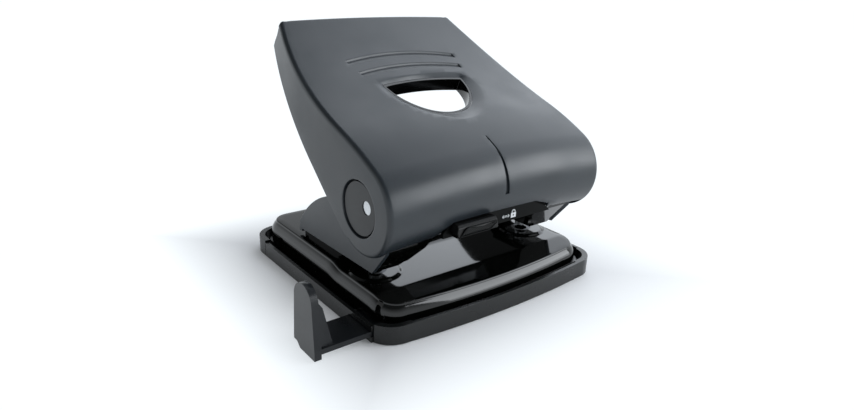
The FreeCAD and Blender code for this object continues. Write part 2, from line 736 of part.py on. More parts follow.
def cover_profile():
    """Side view of a bracket cover: sloping front, long lower edge, round back."""
    centre = axle()
    edge = size("cover_edge")
    lobe = size("lobe_radius") + edge / 4
    toe_height = size("toe_height")
    low_front = front_slope(toe_height + 0.3)
    knee = front_slope(toe_height + 10.9)
    lobe_front = polar(centre, lobe, 200)
    lobe_back = polar(centre, lobe, 45)
    back_top = side_view(size("back_line") + 1.0, size("back_height") + edge)
    back_low = side_view(size("foot_rear") + 1.5, size("plate_rear_top") + size("foot_height"))
    bulge = (back_top + back_low) * 0.5 + Vector(0, 1.7, 1.9)
    foot = back_low.z - 4.6
    heel = side_view(back_low.y + 0.9, foot + 0.2)
    toe = side_view(back_low.y - 1.7, foot)
    step = side_view(back_low.y - 1.9, foot + 1.2)
    edges = [
        line(low_front, knee),
        line(knee, lobe_front),
        arc(lobe_front, polar(centre, lobe, 120), lobe_back),
        line(lobe_back, back_top),
        arc(back_top, bulge, back_low),
        line(back_low, heel),
        line(heel, toe),
        line(toe, step),
        line(step, low_front),
    ]
    return face_of(edges)


def make_covers():
    outer_x = size("bracket_half")
    inner_x = outer_x - size("cover_sheet")
    cover = across(cover_profile(), inner_x, outer_x)
    cover = cover.cut(cross_rod(size("axle_radius") + 0.4, 0, 90, size("axle_line"), size("axle_height")))
    for y, z in peg_places():
        peg_end = inner_x - size("bracket_outer_wall")
        cover = cover.fuse(cross_rod(size("peg_radius"), peg_end, inner_x + 0.5, y, z))
    for name, side in SIDES:
        solid(f"bracket_cover_{name}", mirrored(cover, side))


# ---------------------------------------------------------------- punch pins and springs

def make_pins():
    for name, side in SIDES:
        x = side * size("hole_spacing") / 2
        y = size("hole_line")
        tip, top = size("pin_tip"), size("pin_top")
        radius = size("pin_radius")
        pin = disc(radius, tip, top - 0.8, x, y)
        pin = pin.fuse(Part.makeCone(radius, radius - 0.9, 0.8, Vector(x, y, top - 0.8)))
        hollow = Part.makeCone(radius - 0.35, 0.6, 1.6, Vector(x, y, tip))
        pin = pin.cut(hollow)
        washer_top = top - size("washer_below_top")
        groove = disc(radius + 1, washer_top, washer_top + size("ring_clip"), x, y)
        groove = groove.cut(disc(radius - 0.5, washer_top - 1, washer_top + 2, x, y))
        pin = pin.cut(groove)
        solid(f"punch_pin_{name}", pin)
        washer_low = washer_top - size("washer_sheet")
        washer = disc(size("washer_radius"), washer_low, washer_top, x, y)
        solid(f"spring_washer_{name}", washer.cut(disc(radius + 0.02, washer_low - 1, washer_top + 1, x, y)))
        clip = disc(radius + 0.9, washer_top, washer_top + size("ring_clip"), x, y)
        clip = clip.cut(disc(radius - 0.5, washer_top - 1, washer_top + 2, x, y))
        clip = clip.cut(box((x - 1.2, x + 1.2), (y - 6, y), (washer_top - 1, washer_top + 2)))
        solid(f"retaining_ring_{name}", clip)
        solid(f"return_spring_{name}", spring_shape(x, y, size("web_top"), washer_low))


def spring_shape(x, y, low, high):
    """A coil spring between two heights, with its wire swept along a smooth helix."""
    wire = size("wire")
    coil = size("pin_radius") + wire + 0.35
    turns = size("spring_turns")
    height = high - low - 2 * wire
    steps = int(turns * 24)
    points = []
    for index in range(steps + 1):
        turn = 2 * math.pi * turns * index / steps
        points.append(Vector(x + coil * math.cos(turn), y + coil * math.sin(turn),
                             low + wire + height * index / steps))
    helix = Part.BSplineCurve()
    helix.interpolate(points)
    along = helix.tangent(helix.FirstParameter)[0]
    ring = Part.Wire(Part.Circle(points[0], along, wire).toShape())
    return Part.Wire(helix.toShape()).makePipeShell([ring], True, False)


# ---------------------------------------------------------------- lever

def roll_centre(rise=0.0):
    """Middle of the roll in side view; rise is 0 at the lever's sides and 1 in its middle."""
    return side_view(size("roll_line"), size("roll_height") + rise * size("roll_crown"))


def back_corner(rise=0.0):
    """The lever's upper rear edge in side view."""
    return side_view(size("lever_back"), size("lever_back_height") + rise * size("back_crown"))


def tail_corner():
    return side_view(size("lever_tail"), size("lever_tail_height"))


def shoulder_centre(rise=0.0):
    """Centre of the shoulder arc, which leaves the roll without a kink."""
    return polar(roll_centre(rise), size("roll_radius") - size("shoulder_radius"), size("shoulder_angle"))


def hollow_centre(rise=0.0):
    """Centre of the hollow top arc, which touches the shoulder and ends at the back corner."""
    radius = size("top_hollow")
    return outside_meeting(shoulder_centre(rise), size("shoulder_radius") + radius, back_corner(rise), radius)


def lever_section(inset, rise):
    """Side view of the lever as a wire: front roll, shoulder, hollow top, tail, straight underside."""
    centre, shoulder, hollow = roll_centre(rise), shoulder_centre(rise), hollow_centre(rise)
    roll_reach = size("roll_radius") - inset
    shoulder_reach = size("shoulder_radius") - inset
    hollow_reach = size("top_hollow") + inset
    back, tail = back_corner(rise), tail_corner()
    down = tail.sub(back)
    down.normalize()
    inward = Vector(0, down.z, -down.y)
    under_turn = tangent_angle(centre, size("roll_radius"), tail)
    run = tail - polar(centre, size("roll_radius"), under_turn)
    run.normalize()
    under = polar(centre, roll_reach, under_turn)
    tail_in = lines_meet(under, run, back + inward * inset, down)
    back_in = on_circle_and_line(hollow, hollow_reach, back + inward * inset, down)
    roll_end = polar(centre, roll_reach, size("shoulder_angle"))
    shoulder_end = shoulder + (hollow - shoulder).normalize() * shoulder_reach
    front = polar(centre, roll_reach, (size("shoulder_angle") + under_turn + 360) / 2)
    return Part.Wire([
        arc(roll_end, front, under),
        line(under, tail_in),
        line(tail_in, back_in),
        arc(back_in, arc_middle(hollow, hollow_reach, shoulder_end, back_in), shoulder_end),
        arc(shoulder_end, arc_middle(shoulder, shoulder_reach, roll_end, shoulder_end), roll_end),
    ])


def angle_of(vector):
    return math.degrees(math.atan2(vector.z, vector.y))


def arc_middle(centre, radius, first, last):
    """The point halfway along a short arc."""
    direction = (first + last) * 0.5 - centre
    direction.normalize()
    return centre + direction * radius


def outside_meeting(centre_a, reach_a, centre_b, reach_b):
    """Where two circles in side view meet, on the upper side."""
    apart = centre_b - centre_a
    distance = apart.Length
    along = (reach_a ** 2 - reach_b ** 2 + distance ** 2) / (2 * distance)
    rise = math.sqrt(reach_a ** 2 - along ** 2)
    apart.normalize()
    upward = Vector(0, -apart.z, apart.y)
    return centre_a + apart * along + upward * rise


def tangent_angle(centre, radius, point):
    """Where a line from a point touches the circle's lower side, in degrees."""
    apart = point - centre
    return angle_of(apart) - math.degrees(math.acos(radius / apart.Length))


def on_circle_and_line(centre, radius, start, direction):
    """The meeting of a line and a circle that is nearest to the line's start."""
    offset = start - centre
    half = offset.dot(direction)
    root = math.sqrt(half ** 2 - offset.dot(offset) + radius ** 2)
    options = [start + direction * (-half + root), start + direction * (-half - root)]
    return min(options, key=lambda point: (point - start).Length)


def lines_meet(point_a, along_a, point_b, along_b):
    """The meeting of two lines in side view."""
    gap = point_b - point_a
    scale = along_a.y * along_b.z - along_a.z * along_b.y
    reach = (gap.y * along_b.z - gap.z * along_b.y) / scale
    return point_a + along_a * reach


def lever_sides(inset):
    """The lever's outline along its draw line, swept square to it: parallel at the roll, then drawn in."""
    half = size("lever_half") - inset
    start = size("side_start")
    end = start + 90
    radius = size("side_radius") - inset
    front = -size("roll_radius") - 10

    def side_x(along):
        return half - radius + math.sqrt(radius ** 2 - (along - start) ** 2)

    mid = (start + end) / 2
    edges = [
        line(plan_view(-half, front), plan_view(half, front)),
        line(plan_view(half, front), plan_view(half, start)),
        arc(plan_view(half, start), plan_view(side_x(mid), mid), plan_view(side_x(end), end)),
        line(plan_view(side_x(end), end), plan_view(-side_x(end), end)),
        arc(plan_view(-side_x(end), end), plan_view(-side_x(mid), mid), plan_view(-half, start)),
        line(plan_view(-half, start), plan_view(-half, front)),
    ]
    prism = upright(face_of(edges), -90, 60)
    prism.Placement = Placement(roll_centre(), Rotation(Vector(1, 0, 0), size("side_draw")))
    return prism


def lever_block(inset):
    """The lever as a full block: crowned from side to side, with drawn-in sides."""
    half = size("lever_half") - inset
    sections = []
    for x, rise in ((-half, 0.0), (0.0, 1.0), (half, 0.0)):
        section = lever_section(inset, rise)
        section.translate(Vector(x, 0, 0))
        sections.append(section)
    return Part.makeLoft(sections, True, False).common(lever_sides(inset))


def lever_mouth():
    """The open underside of the cover, between its side walls."""
    centre = roll_centre()
    wall = size("lever_wall")
    down = tail_corner() - back_corner()
    down.normalize()
    inward = Vector(0, down.z, -down.y)
    tail_in = tail_corner() + inward * wall
    points = [centre, polar(centre, 40, size("lip_angle")), side_view(0, -10), tail_in + down * 60,
              tail_in - down * 6]
    half = size("lever_half") - wall
    return across(Part.Face(polygon(points)), -half, half).common(lever_sides(wall))


def top_frame(y):
    """A frame on the lever's top, in its middle: X across, Y up the slope, Z out."""
    bend = hollow_centre(1.0)
    z = bend.z - math.sqrt(size("top_hollow") ** 2 - (y - bend.y) ** 2)
    slope = math.degrees(math.atan2(y - bend.y, bend.z - z))
    return Placement(side_view(y, z), Rotation(Vector(1, 0, 0), slope))


def hand_outline(grow):
    """The D-shaped hand opening in its own frame: flat rear edge, round front."""
    half = size("hand_half") + grow
    length = size("hand_length") + grow
    rear_left = Vector(-half, grow - 1.0, 0)
    rear_right = Vector(half, grow - 1.0, 0)
    waist_left = Vector(-half * 0.62, -length * 0.78, 0)
    waist_right = Vector(half * 0.62, -length * 0.78, 0)
    edges = [
        arc(rear_left, Vector(0, grow + 0.9, 0), rear_right),
        arc(rear_right, Vector(half * 0.9, -length * 0.42, 0), waist_right),
        arc(waist_right, Vector(0, -length, 0), waist_left),
        arc(waist_left, Vector(-half * 0.9, -length * 0.42, 0), rear_left),
    ]
    return face_of(edges)


def hand_prism(grow, low, high):
    face = hand_outline(grow)
    face.translate(Vector(0, 0, low))
    prism = face.extrude(Vector(0, 0, high - low))
    prism.Placement = top_frame(size("hand_line")).multiply(prism.Placement)
    return prism


def hand_dish():
    """The dished border of the hand opening: a loft from the top surface down to the collar."""
    low, high = -1.3, 0.5
    wires = []
    for grow, height in ((size("collar_wall"), low), (size("hand_bevel"), high)):
        wire = hand_outline(grow).OuterWire
        wire.translate(Vector(0, 0, height))
        wires.append(wire)
    dish = Part.makeLoft(wires, True)
    dish.Placement = top_frame(size("hand_line")).multiply(dish.Placement)
    return dish


def grip_groove(y, half):
    """A shallow bowed groove across the lever's top."""
    sweep = half * 2.2
    face_points = (Vector(-half, 0, 0), Vector(0, sweep * 0.045, 0), Vector(half, 0, 0))
    width = size("grip_width") / 2
    up = Vector(0, width, 0)
    edges = [
        arc(face_points[0] + up, face_points[1] + up, face_points[2] + up),
        arc(face_points[2] + up, face_points[2] + Vector(width, 0, 0), face_points[2] - up),
        arc(face_points[2] - up, face_points[1] - up, face_points[0] - up),
        arc(face_points[0] - up, face_points[0] - Vector(width, 0, 0), face_points[0] + up),
    ]
    face = face_of(edges)
    face.translate(Vector(0, 0, -3))
    groove = face.extrude(Vector(0, 0, 8))
    groove.Placement = top_frame(y).multiply(groove.Placement)
    return groove


def long_edges(block_shape):
    """The lever's edges between its sides and its top, back and roll, but not its open underside."""
    belly = tail_corner() - roll_centre()
    chosen = []
    for edge in block_shape.Edges:
        middle = edge.CenterOfMass - roll_centre()
        under = middle.y > 0 and middle.z < middle.y * belly.z / belly.y - 2
        if edge.BoundBox.XLength < 14 and abs(middle.x) > 30 and edge.Length > 5 and not under:
            chosen.append(edge)
    return chosen


def slit_tool():
    """Curved slit over the roll, narrowing upwards to a tip."""
    centre = roll_centre(1.0)
    ring = cross_rod(size("roll_radius") + 2, -5, 5, centre.y, centre.z)
    ring = ring.cut(cross_rod(size("roll_radius") - size("slit_depth"), -6, 6, centre.y, centre.z))
    low, tip = size("slit_width") / 2, size("slit_tip") / 2
    bottom, top = size("slit_low"), size("slit_high")
    front = Part.Face(polygon([Vector(-low, -80, bottom), Vector(low, -80, bottom), Vector(tip, -80, top),
                               Vector(-tip, -80, top)]))
    return ring.common(front.extrude(Vector(0, 80 + size("roll_line"), 0)))


def make_lever_cover():
    block_shape = lever_block(0)
    block_shape = block_shape.makeFillet(size("edge_round"), long_edges(block_shape))
    cover = block_shape.cut(lever_block(size("lever_wall")).fuse(lever_mouth()))
    for x in boss_places():
        boss = web_boss(size("boss_radius"), x, 0, 40).common(lever_block(size("lever_wall") / 2))
        cover = cover.fuse(boss).cut(web_boss(size("screw_radius"), x, -1, size("boss_thread") + 0.5))
    cover = cover.cut(hand_prism(size("collar_wall"), -30, 10)).cut(hand_dish())
    below_groove = lever_block(size("grip_depth"))
    for index in range(2):
        y = size("grip_line") - index * size("grip_pitch")
        cover = cover.cut(grip_groove(y, size("grip_half") - index * 1.5).cut(below_groove))
    cover = cover.cut(slit_tool())
    left, right, top = size("notch_left"), size("notch_right"), size("notch_top")
    notch = Part.Face(polygon([Vector(left - 3, -60, 20), Vector(left, -60, 36), Vector(left + 3, -60, top),
                               Vector(right - 8, -60, top), Vector(right + 2, -60, 36.2),
                               Vector(right + 4, -60, 34), Vector(right + 4, -60, 20)]))
    cover = cover.cut(notch.extrude(Vector(0, 18, 0)))
    for side in (-1, 1):
        inner = size("lever_half") - size("lever_wall") - 5
        low, high = sorted((side * (size("lever_half") + 5), side * inner))
        hole = cross_rod(size("cap_radius") + size("cap_groove"), low, high,
                         size("cap_line"), size("cap_height"))
        cover = cover.cut(hole)
    return solid("lever_cover", cover)


def make_collar():
    outer = hand_prism(size("collar_wall"), -size("collar_depth"), -1.3)
    collar = outer.cut(hand_prism(0, -30, 10))
    return solid("hand_collar", collar)


def make_caps():
    """Round caps in the lever's sides; each holds an end of the axle."""
    half = size("lever_half")
    inner = half - size("lever_wall") - 1.4
    for name, side in SIDES:
        outer = half - size("cap_recess")
        cap = cross_rod(size("cap_radius"), inner, outer, size("cap_line"), size("cap_height"))
        web = cross_rod(size("cap_radius") + size("cap_groove"), inner, half - size("lever_wall") + 0.4,
                        size("cap_line"), size("cap_height"))
        cap = cap.fuse(web)
        cap = cap.cut(cross_rod(size("axle_radius"), 0, 90, size("axle_line"), size("axle_height")))
        solid(f"pivot_cap_{name}", mirrored(cap, side))


def make_axle():
    start = ("Sizes.axle_inset - Fits.lever_half", "Sizes.axle_line", "Sizes.axle_height")
    length = "2 * (Fits.lever_half - Sizes.axle_inset)"
    return keep("axle", rod("axle", "Sizes.axle_radius", length, start, "x"))


def stem_span():
    """Left and right ends of the slider's stem, hidden behind the thumb face."""
    left = size("slider_middle") - size("slider_half") + 1.0
    return left, left + 8.0


def stem_heights():
    return size("slider_low") + 1.2, size("slider_high") - 1.2


def make_liner():
    """The dark inner front under the roll: a curved shell with a flat lock face in the notch."""
    centre = roll_centre(1.0)
    outer_radius = size("liner_front")
    wall = size("liner_sheet")
    half = size("flange_reach") - 0.4
    shell = cross_rod(outer_radius, -half, half, centre.y, centre.z)
    shell = shell.cut(cross_rod(outer_radius - wall, -half - 1, half + 1, centre.y, centre.z))
    sector = Part.Face(polygon([centre] + [polar(centre, 60, turn) for turn in (158, 215, 272)]))
    shell = shell.common(across(sector, -half, half))
    front = size("lock_face")
    top = size("notch_top") - 0.2
    low = size("slider_low") - 0.4
    left, right = size("notch_left") - 1.0, size("notch_right")
    corners = ((left, low), (right + 1.5, low), (right - 1.0, low + 2.2), (right - 8.0, top - 0.4),
               (right - 8.2, top), (left + 4.0, top), (left, top - 3.6))
    face = Part.Face(polygon([Vector(x, front, z) for x, z in corners]))
    face = face.extrude(Vector(0, size("face_sheet"), 0))
    bridge = box((left + 4.2, right - 8.4), (front, front + 3.2), (top - 0.8, top))
    stem_left, stem_right = stem_span()
    stem_low, stem_high = stem_heights()
    slot = box((stem_left - 0.3, stem_right + size("lock_travel") + 0.3),
               (front - 1, front + size("face_sheet") + 0.05), (stem_low - 0.2, stem_high + 0.2))
    return solid("lever_liner", shell.fuse([face, bridge]).cut(slot))


def involute(base, start_length, end_length, count):
    """Cam curve: each point is where a vertical flat push of that length would touch, lever at rest."""
    points = []
    for index in range(count):
        length = start_length + (end_length - start_length) * index / (count - 1)
        turn = (length - start_length) / base
        cos_t, sin_t = math.cos(turn), math.sin(turn)
        points.append(axle() + Vector(0, base * cos_t + length * sin_t, base * sin_t - length * cos_t))
    return points


def cam_curve():
    base = size("hole_line") - size("axle_line")
    rest_length = size("axle_height") - size("pin_top")
    stroke = math.radians(size("press_angle") + 1.0) * base
    return involute(base, rest_length, rest_length + stroke, 9)


def web_line():
    """Upper face of the press lever's web in side view: its front and rear ends."""
    rear = cam_curve()[-1] + Vector(0, size("web_set"), size("web_rise"))
    front = polar(axle(), size("cam_hub") + size("web_over_hub"), 105)
    return front, rear


def web_direction():
    front, rear = web_line()
    slope = rear - front
    slope.normalize()
    return slope, Vector(0, -slope.z, slope.y)


def boss_places():
    return (-size("boss_spacing") / 2, size("boss_spacing") / 2)


def web_boss(radius, x, low, high):
    """A cylinder square to the web, from low to high above its upper face."""
    slope, normal = web_direction()
    foot = web_line()[1] - slope * size("web_depth") / 2 + normal * low
    return Part.makeCylinder(radius, high - low, Vector(x, foot.y, foot.z), normal)


def make_press_lever():
    """Steel lever inside the cover: two cam arms on the axle joined by a web."""
    curve = cam_curve()
    spline = Part.BSplineCurve()
    spline.interpolate(curve)
    hub = size("cam_hub")
    centre = axle()
    front, rear = web_line()
    low_front = polar(centre, hub, 262)
    edges = [
        spline.toShape(),
        line(curve[-1], rear),
        line(rear, front),
        line(front, polar(centre, hub, 125)),
        arc(polar(centre, hub, 125), polar(centre, hub, 190), low_front),
        line(low_front, curve[0]),
    ]
    arm_face = face_of(edges)
    middle = size("hole_spacing") / 2
    half_cam = size("cam_width") / 2
    arms = [across(arm_face, side * middle - half_cam, side * middle + half_cam) for _, side in SIDES]
    slope, normal = web_direction()
    low_edge = rear - slope * size("web_depth")
    drop = normal * -size("press_sheet")
    web = across(Part.Face(polygon([low_edge, rear, rear + drop, low_edge + drop])), -middle, middle)
    lever = arms[0].fuse([arms[1], web])
    lever = lever.cut(cross_rod(size("axle_radius"), -90, 90, centre.y, centre.z))
    for x in boss_places():
        lever = lever.cut(web_boss(size("screw_radius") + 0.1, x, -9, 1))
    return solid("press_lever", lever)


def make_lever_screws():
    screws = []
    under = -size("press_sheet")
    for x in boss_places():
        shank = web_boss(size("screw_radius"), x, under, size("boss_thread"))
        head = web_boss(size("screw_head"), x, under - 1.4, under)
        screws.append(shank.fuse(head).cut(web_boss(0.9, x, under - 2, under - 0.6)))
    return solid_group("lever_screws", screws)


# ---------------------------------------------------------------- lock slider and paper guide

def make_lock_slider():
    """Thumb piece with a sloping face and a stem through the lock face."""
    middle, half = size("slider_middle"), size("slider_half")
    low, high = size("slider_low"), size("slider_high")
    front = size("slider_front")
    back = size("lock_face") - 0.3
    profile = ((back, low), (front + 1.8, low), (front, low + 1.0), (front + 0.7, high - 1.0),
               (front + 1.7, high), (back, high))
    slider = across(Part.Face(polygon([side_view(y, z) for y, z in profile])), middle - half, middle + half)
    left_end = middle - half
    corners = ((left_end - 1, low - 1), (left_end + 1.0, low - 1), (left_end - 0.2, low + 2.2),
               (left_end + 1.2, high + 1), (left_end - 1, high + 1))
    slant = Part.Face(polygon([Vector(x, front - 1, z) for x, z in corners]))
    slider = slider.cut(slant.extrude(Vector(0, 10, 0)))
    stem_back = size("lock_face") + size("face_sheet") + 0.3
    stem = box(stem_span(), (back - 0.5, stem_back), stem_heights())
    return solid("lock_slider", slider.fuse(stem))


def make_lock_bar():
    """Thin bar behind the lock face, pushed by the slider's stem."""
    start = "Sizes.lock_face + Sizes.face_sheet + 0.3"
    bar = block("lock_bar",
                ("Sizes.slider_middle - Sizes.slider_half", "Sizes.notch_right - 8.4 - Sizes.lock_travel"),
                (start, f"{start} + 0.7"), ("Sizes.slider_low + 1.2", "Sizes.slider_high - 1.6"))
    return keep("lock_bar", bar)


def make_paper_guide():
    out = size("guide_out")
    front, rear = size("guide_front"), size("guide_rear")
    sheet_gauge = size("guide_sheet")
    low, top = size("guide_low"), size("guide_top")
    middle = (front + rear) / 2
    half_top = (rear - front) / 2 - 1.2
    half_low = (rear - front) / 2
    round_start = top - half_top
    round_front = side_view(middle - half_top, round_start)
    round_rear = side_view(middle + half_top, round_start)
    edges = [
        line(side_view(middle - half_low, 4.0), round_front),
        arc(round_front, side_view(middle, top), round_rear),
        line(round_rear, side_view(middle + half_low, 4.0)),
        line(side_view(middle + half_low, 4.0), side_view(middle + 3.0, low)),
        line(side_view(middle + 3.0, low), side_view(middle - half_low, low)),
        line(side_view(middle - half_low, low), side_view(middle - half_low, 4.0)),
    ]
    plate = across(face_of(edges), out, out + sheet_gauge)
    bar_low, bar_top = size("guide_bar_low"), size("guide_bar_top")
    bar = box((out, out + size("guide_length")), (front, rear), (bar_low, bar_top))
    inner = out + sheet_gauge
    corners = ((inner, bar_top), (inner + 5.0, bar_top), (inner + 1.4, 19.0), (inner, 21.0))
    rib = Part.Face(polygon([Vector(x, middle - half_top, z) for x, z in corners]))
    rib_solid = rib.extrude(Vector(0, 2 * half_top, 0))
    return solid("paper_guide", plate.fuse([bar, rib_solid]))


# ---------------------------------------------------------------- build, check and write

def make_all():
    make_tray_frame()
    make_chip_pan()
    make_hinge_pins()
    make_base_plate()
    make_dies()
    make_plate_standoffs()
    make_tray_screws()
    make_brackets()
    make_bracket_rivets()
    make_covers()
    make_pins()
    make_lever_cover()
    make_collar()
    make_caps()
    make_axle()
    make_liner()
    make_press_lever()
    make_lever_screws()
    make_lock_slider()
    make_lock_bar()
    make_paper_guide()


def check_and_write():
    doc.recompute()
    for obj in doc.Objects:
        if "Invalid" in obj.State or "Error" in obj.State:
            raise RuntimeError(f"{obj.Label} failed: {obj.State}")
    for label, obj in SUBPARTS.items():
        if obj.Shape.isNull() or not obj.Shape.isValid() or not obj.Shape.Solids:
            raise RuntimeError(f"{label} has no valid solid")
    os.makedirs("parts", exist_ok=True)
    for label, obj in SUBPARTS.items():
        obj.Shape.exportStep(f"parts/{label}.step")
        bounds = obj.Shape.BoundBox
        print(f"{label}: {len(obj.Shape.Solids)} solid(s), {obj.Shape.Volume:.0f} mm3, "
              f"z {bounds.ZMin:.1f} to {bounds.ZMax:.1f}")


make_all()
check_and_write()
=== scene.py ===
import math

import bmesh
import bpy
import numpy as np
from mathutils import Matrix, Vector
from mathutils.geometry import delaunay_2d_cdt


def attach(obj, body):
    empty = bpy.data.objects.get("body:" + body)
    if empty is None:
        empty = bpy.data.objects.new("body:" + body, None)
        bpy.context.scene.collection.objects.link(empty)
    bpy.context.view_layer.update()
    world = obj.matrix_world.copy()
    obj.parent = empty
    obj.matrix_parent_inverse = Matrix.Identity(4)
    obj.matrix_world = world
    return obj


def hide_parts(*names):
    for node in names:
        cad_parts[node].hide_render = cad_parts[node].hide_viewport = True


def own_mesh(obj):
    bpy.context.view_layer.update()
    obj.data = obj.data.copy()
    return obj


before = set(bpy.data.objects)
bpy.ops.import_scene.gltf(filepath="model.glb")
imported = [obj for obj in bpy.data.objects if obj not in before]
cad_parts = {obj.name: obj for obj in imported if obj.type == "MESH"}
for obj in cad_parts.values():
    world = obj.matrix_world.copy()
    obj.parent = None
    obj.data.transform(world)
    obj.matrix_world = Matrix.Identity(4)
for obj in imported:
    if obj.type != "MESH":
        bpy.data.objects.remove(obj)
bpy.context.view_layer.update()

MM = 0.001

# Sizes in millimetres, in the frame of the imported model: +X right, +Y back, +Z up.

# Base plate. Each bend is a radius, its first and last slope and its rows; a negative radius is hollow.
PLATE = dict(half=52.95, reach=49.8, corner=9.5, bow=2.6, sheet=1.2, seat=5.0, front_top=13.4,
             rear_top=15.0, step_front=-15.5, step_rear=-7.5, crease=2.6, fall_start=-39.0,
             fall=0.16, fall_round=0.6, bends=((0.6, 0, 85, 5), (-0.5, 85, 46, 4), (6.5, 46, 88, 14)))
HOLES = ((-40.0, -22.9), (40.0, -22.9))
RING = dict(top=14.2, radius=10.6, slope=1.4, bore=4.45)
RIVETS = ((-40.0, 0.0), (-40.0, 12.5), (40.0, 0.0), (40.0, 12.5))
RIVET_BORE = 1.65

# Lever cover, side view (Y, Z): round roll, shoulder, hollow top, back and tail.
ROLL = (-34.15, 45.2)
ROLL_RADIUS = 17.75
ROLL_CROWN = 2.6
SHOULDER_ANGLE = 118.4
SHOULDER_RADIUS = 143.0
HOLLOW_RADIUS = 264.0
BACK = (42.9, 102.1)
BACK_CROWN = 1.2
TAIL = (46.9, 92.1)
LIP_ANGLE = 226.0
LIP_TURN = 6.0
CAP_CENTRE = (-32.3, 45.0)
CAP_BORE = 10.65

# Lever cover, front view: its sides draw in towards the back along the direction DRAW.
LEVER_HALF = 53.6
DRAW = (math.cos(math.radians(43)), math.sin(math.radians(43)))
SIDE_RADIUS = 229.0
SIDE_START = 32.1
LEVER_WALL = 2.2
WALL_GAP = 0.15
EDGE_ROUND = 1.9
LIP_ROUND = 0.3
NOTCH = ((-30.5, 20.0), (-27.5, 36.0), (-24.5, 39.6), (18.0, 39.6), (28.0, 36.2), (30.0, 34.0),
         (30.0, 20.0))

# Points along the lever's outline.
ROLL_POINTS = 500
BELLY_POINTS = 300
REAR_POINTS = 50

# Hand opening with its collar and dished border, and the centre slit over the roll.
HAND_LINE = 1.65
HAND_HALF = 19.4
HAND_LENGTH = 22.1
COLLAR_WALL = 1.2
COLLAR_TOP = 1.3
DISH_BORDER = ((-23.6, 0.7), (-22.7, 2.0), (-19.3, 3.1), (-13.5, 4.2), (-5.5, 4.7), (6.9, 5.3),
               (15.1, 5.0), (21.0, 3.9), (23.6, 1.4), (24.6, -2.7), (24.0, -7.0), (21.4, -12.2),
               (17.4, -17.6), (11.4, -23.6), (5.5, -26.8), (-0.4, -27.7), (-5.1, -26.6), (-10.3, -23.8),
               (-14.9, -19.8), (-18.8, -14.1), (-22.0, -8.2), (-23.8, -2.9))
SLIT = (46.5, 65.9)
SLIT_HALF = 0.95
SLIT_END = 0.16
SLIT_DEPTH = 0.9

# Slider face and marks on the lock face, front view (X, Z).
GRIP = dict(corners=((-24.9, 35.1), (-9.6, 35.1), (-6.0, 38.4), (-21.4, 38.4)), front=-54.2, rim=0.4,
            pitch=0.45, ridge=0.28, tooth=0.2, sheet=0.4)
MARK_FACE = -49.4
MARK_HALF = 0.04
ARROW_MIDDLE = (2.65, 36.0)
ARROW = ((-1.95, 0.0), (-1.1, 0.8), (-1.1, 0.3), (1.1, 0.3), (1.1, 0.8), (1.95, 0.0),
         (1.1, -0.8), (1.1, -0.3), (-1.1, -0.3), (-1.1, -0.8))
PADLOCK = dict(middle=6.7, low=34.8, high=36.8, half=1.35, shackle=1.0, wire=0.36, key=0.35, lift=0.3)

# Right bracket cover: lean of its front, and how far its inner front edge slants back.
FRONT_LEAN = math.radians(39.3)
FRONT_SLANT = 0.9


# ---------------------------------------------------------------- plane geometry

def circle_points(centre, radius, first, last, count):
    """Points on a circle between two turns in degrees."""
    turn = np.radians(np.linspace(first, last, count))
    return np.c_[centre[0] + radius * np.cos(turn), centre[1] + radius * np.sin(turn)]


def three_point_arc(a, b, c, count):
    """Points along the circle arc from a through b to c."""
    a, b, c = (np.array(p, float) for p in (a, b, c))
    m = np.array([b - a, c - a])
    centre = np.linalg.solve(2 * m, [b @ b - a @ a, c @ c - a @ a])
    radius = np.linalg.norm(a - centre)
    turns = [math.degrees(math.atan2(*(p - centre)[::-1])) for p in (a, b, c)]
    sweep = (turns[2] - turns[0]) % 360
    if (turns[1] - turns[0]) % 360 > sweep:
        sweep -= 360
    return circle_points(centre, radius, turns[0], turns[0] + sweep, count)


def bezier(a, b, c, count):
    """Points from a to c along a curve drawn towards b."""
    t = np.linspace(0, 1, count)[:, None]
    a, b, c = (np.array(p, float) for p in (a, b, c))
    return (1 - t) ** 2 * a + 2 * t * (1 - t) * b + t * t * c


def line_distance(points, path, closed=False):
    """Distance from each point to a path of short runs."""
    path = np.vstack([path, path[:1]]) if closed else path
    start, step = path[:-1], np.diff(path, axis=0)
    best = np.full(len(points), 1e9)
    for a, d in zip(start, step):
        along = np.clip(((points - a) @ d) / (d @ d + 1e-12), 0, 1)
        best = np.minimum(best, np.linalg.norm(points - a - along[:, None] * d, axis=1))
    return best


def inside(points, loop):
    """Which points lie inside a closed loop."""
    result = np.zeros(len(points), bool)
    x, y = points[:, 0], points[:, 1]
    for (x0, y0), (x1, y1) in zip(loop, np.roll(loop, -1, axis=0)):
        if y0 != y1:
            crossing = (y0 > y) != (y1 > y)
            result ^= crossing & (x < (x1 - x0) * (y - y0) / (y1 - y0) + x0)
    return result


def resample(path, step, closed=False):
    """Even points along a path."""
    path = np.vstack([path, path[:1]]) if closed else np.asarray(path, float)
    reach = np.r_[0, np.cumsum(np.linalg.norm(np.diff(path, axis=0), axis=1))]
    count = max(int(round(reach[-1] / step)), 2) + 1
    at = np.linspace(0, reach[-1], count)
    points = np.c_[np.interp(at, reach, path[:, 0]), np.interp(at, reach, path[:, 1])]
    return points[:-1] if closed else points


def smooth_step(value, low, high):
    """0 below the low value and 1 above the high one, with a soft rise between."""
    t = np.clip((value - low) / (high - low), 0, 1)
    return t * t * (3 - 2 * t)


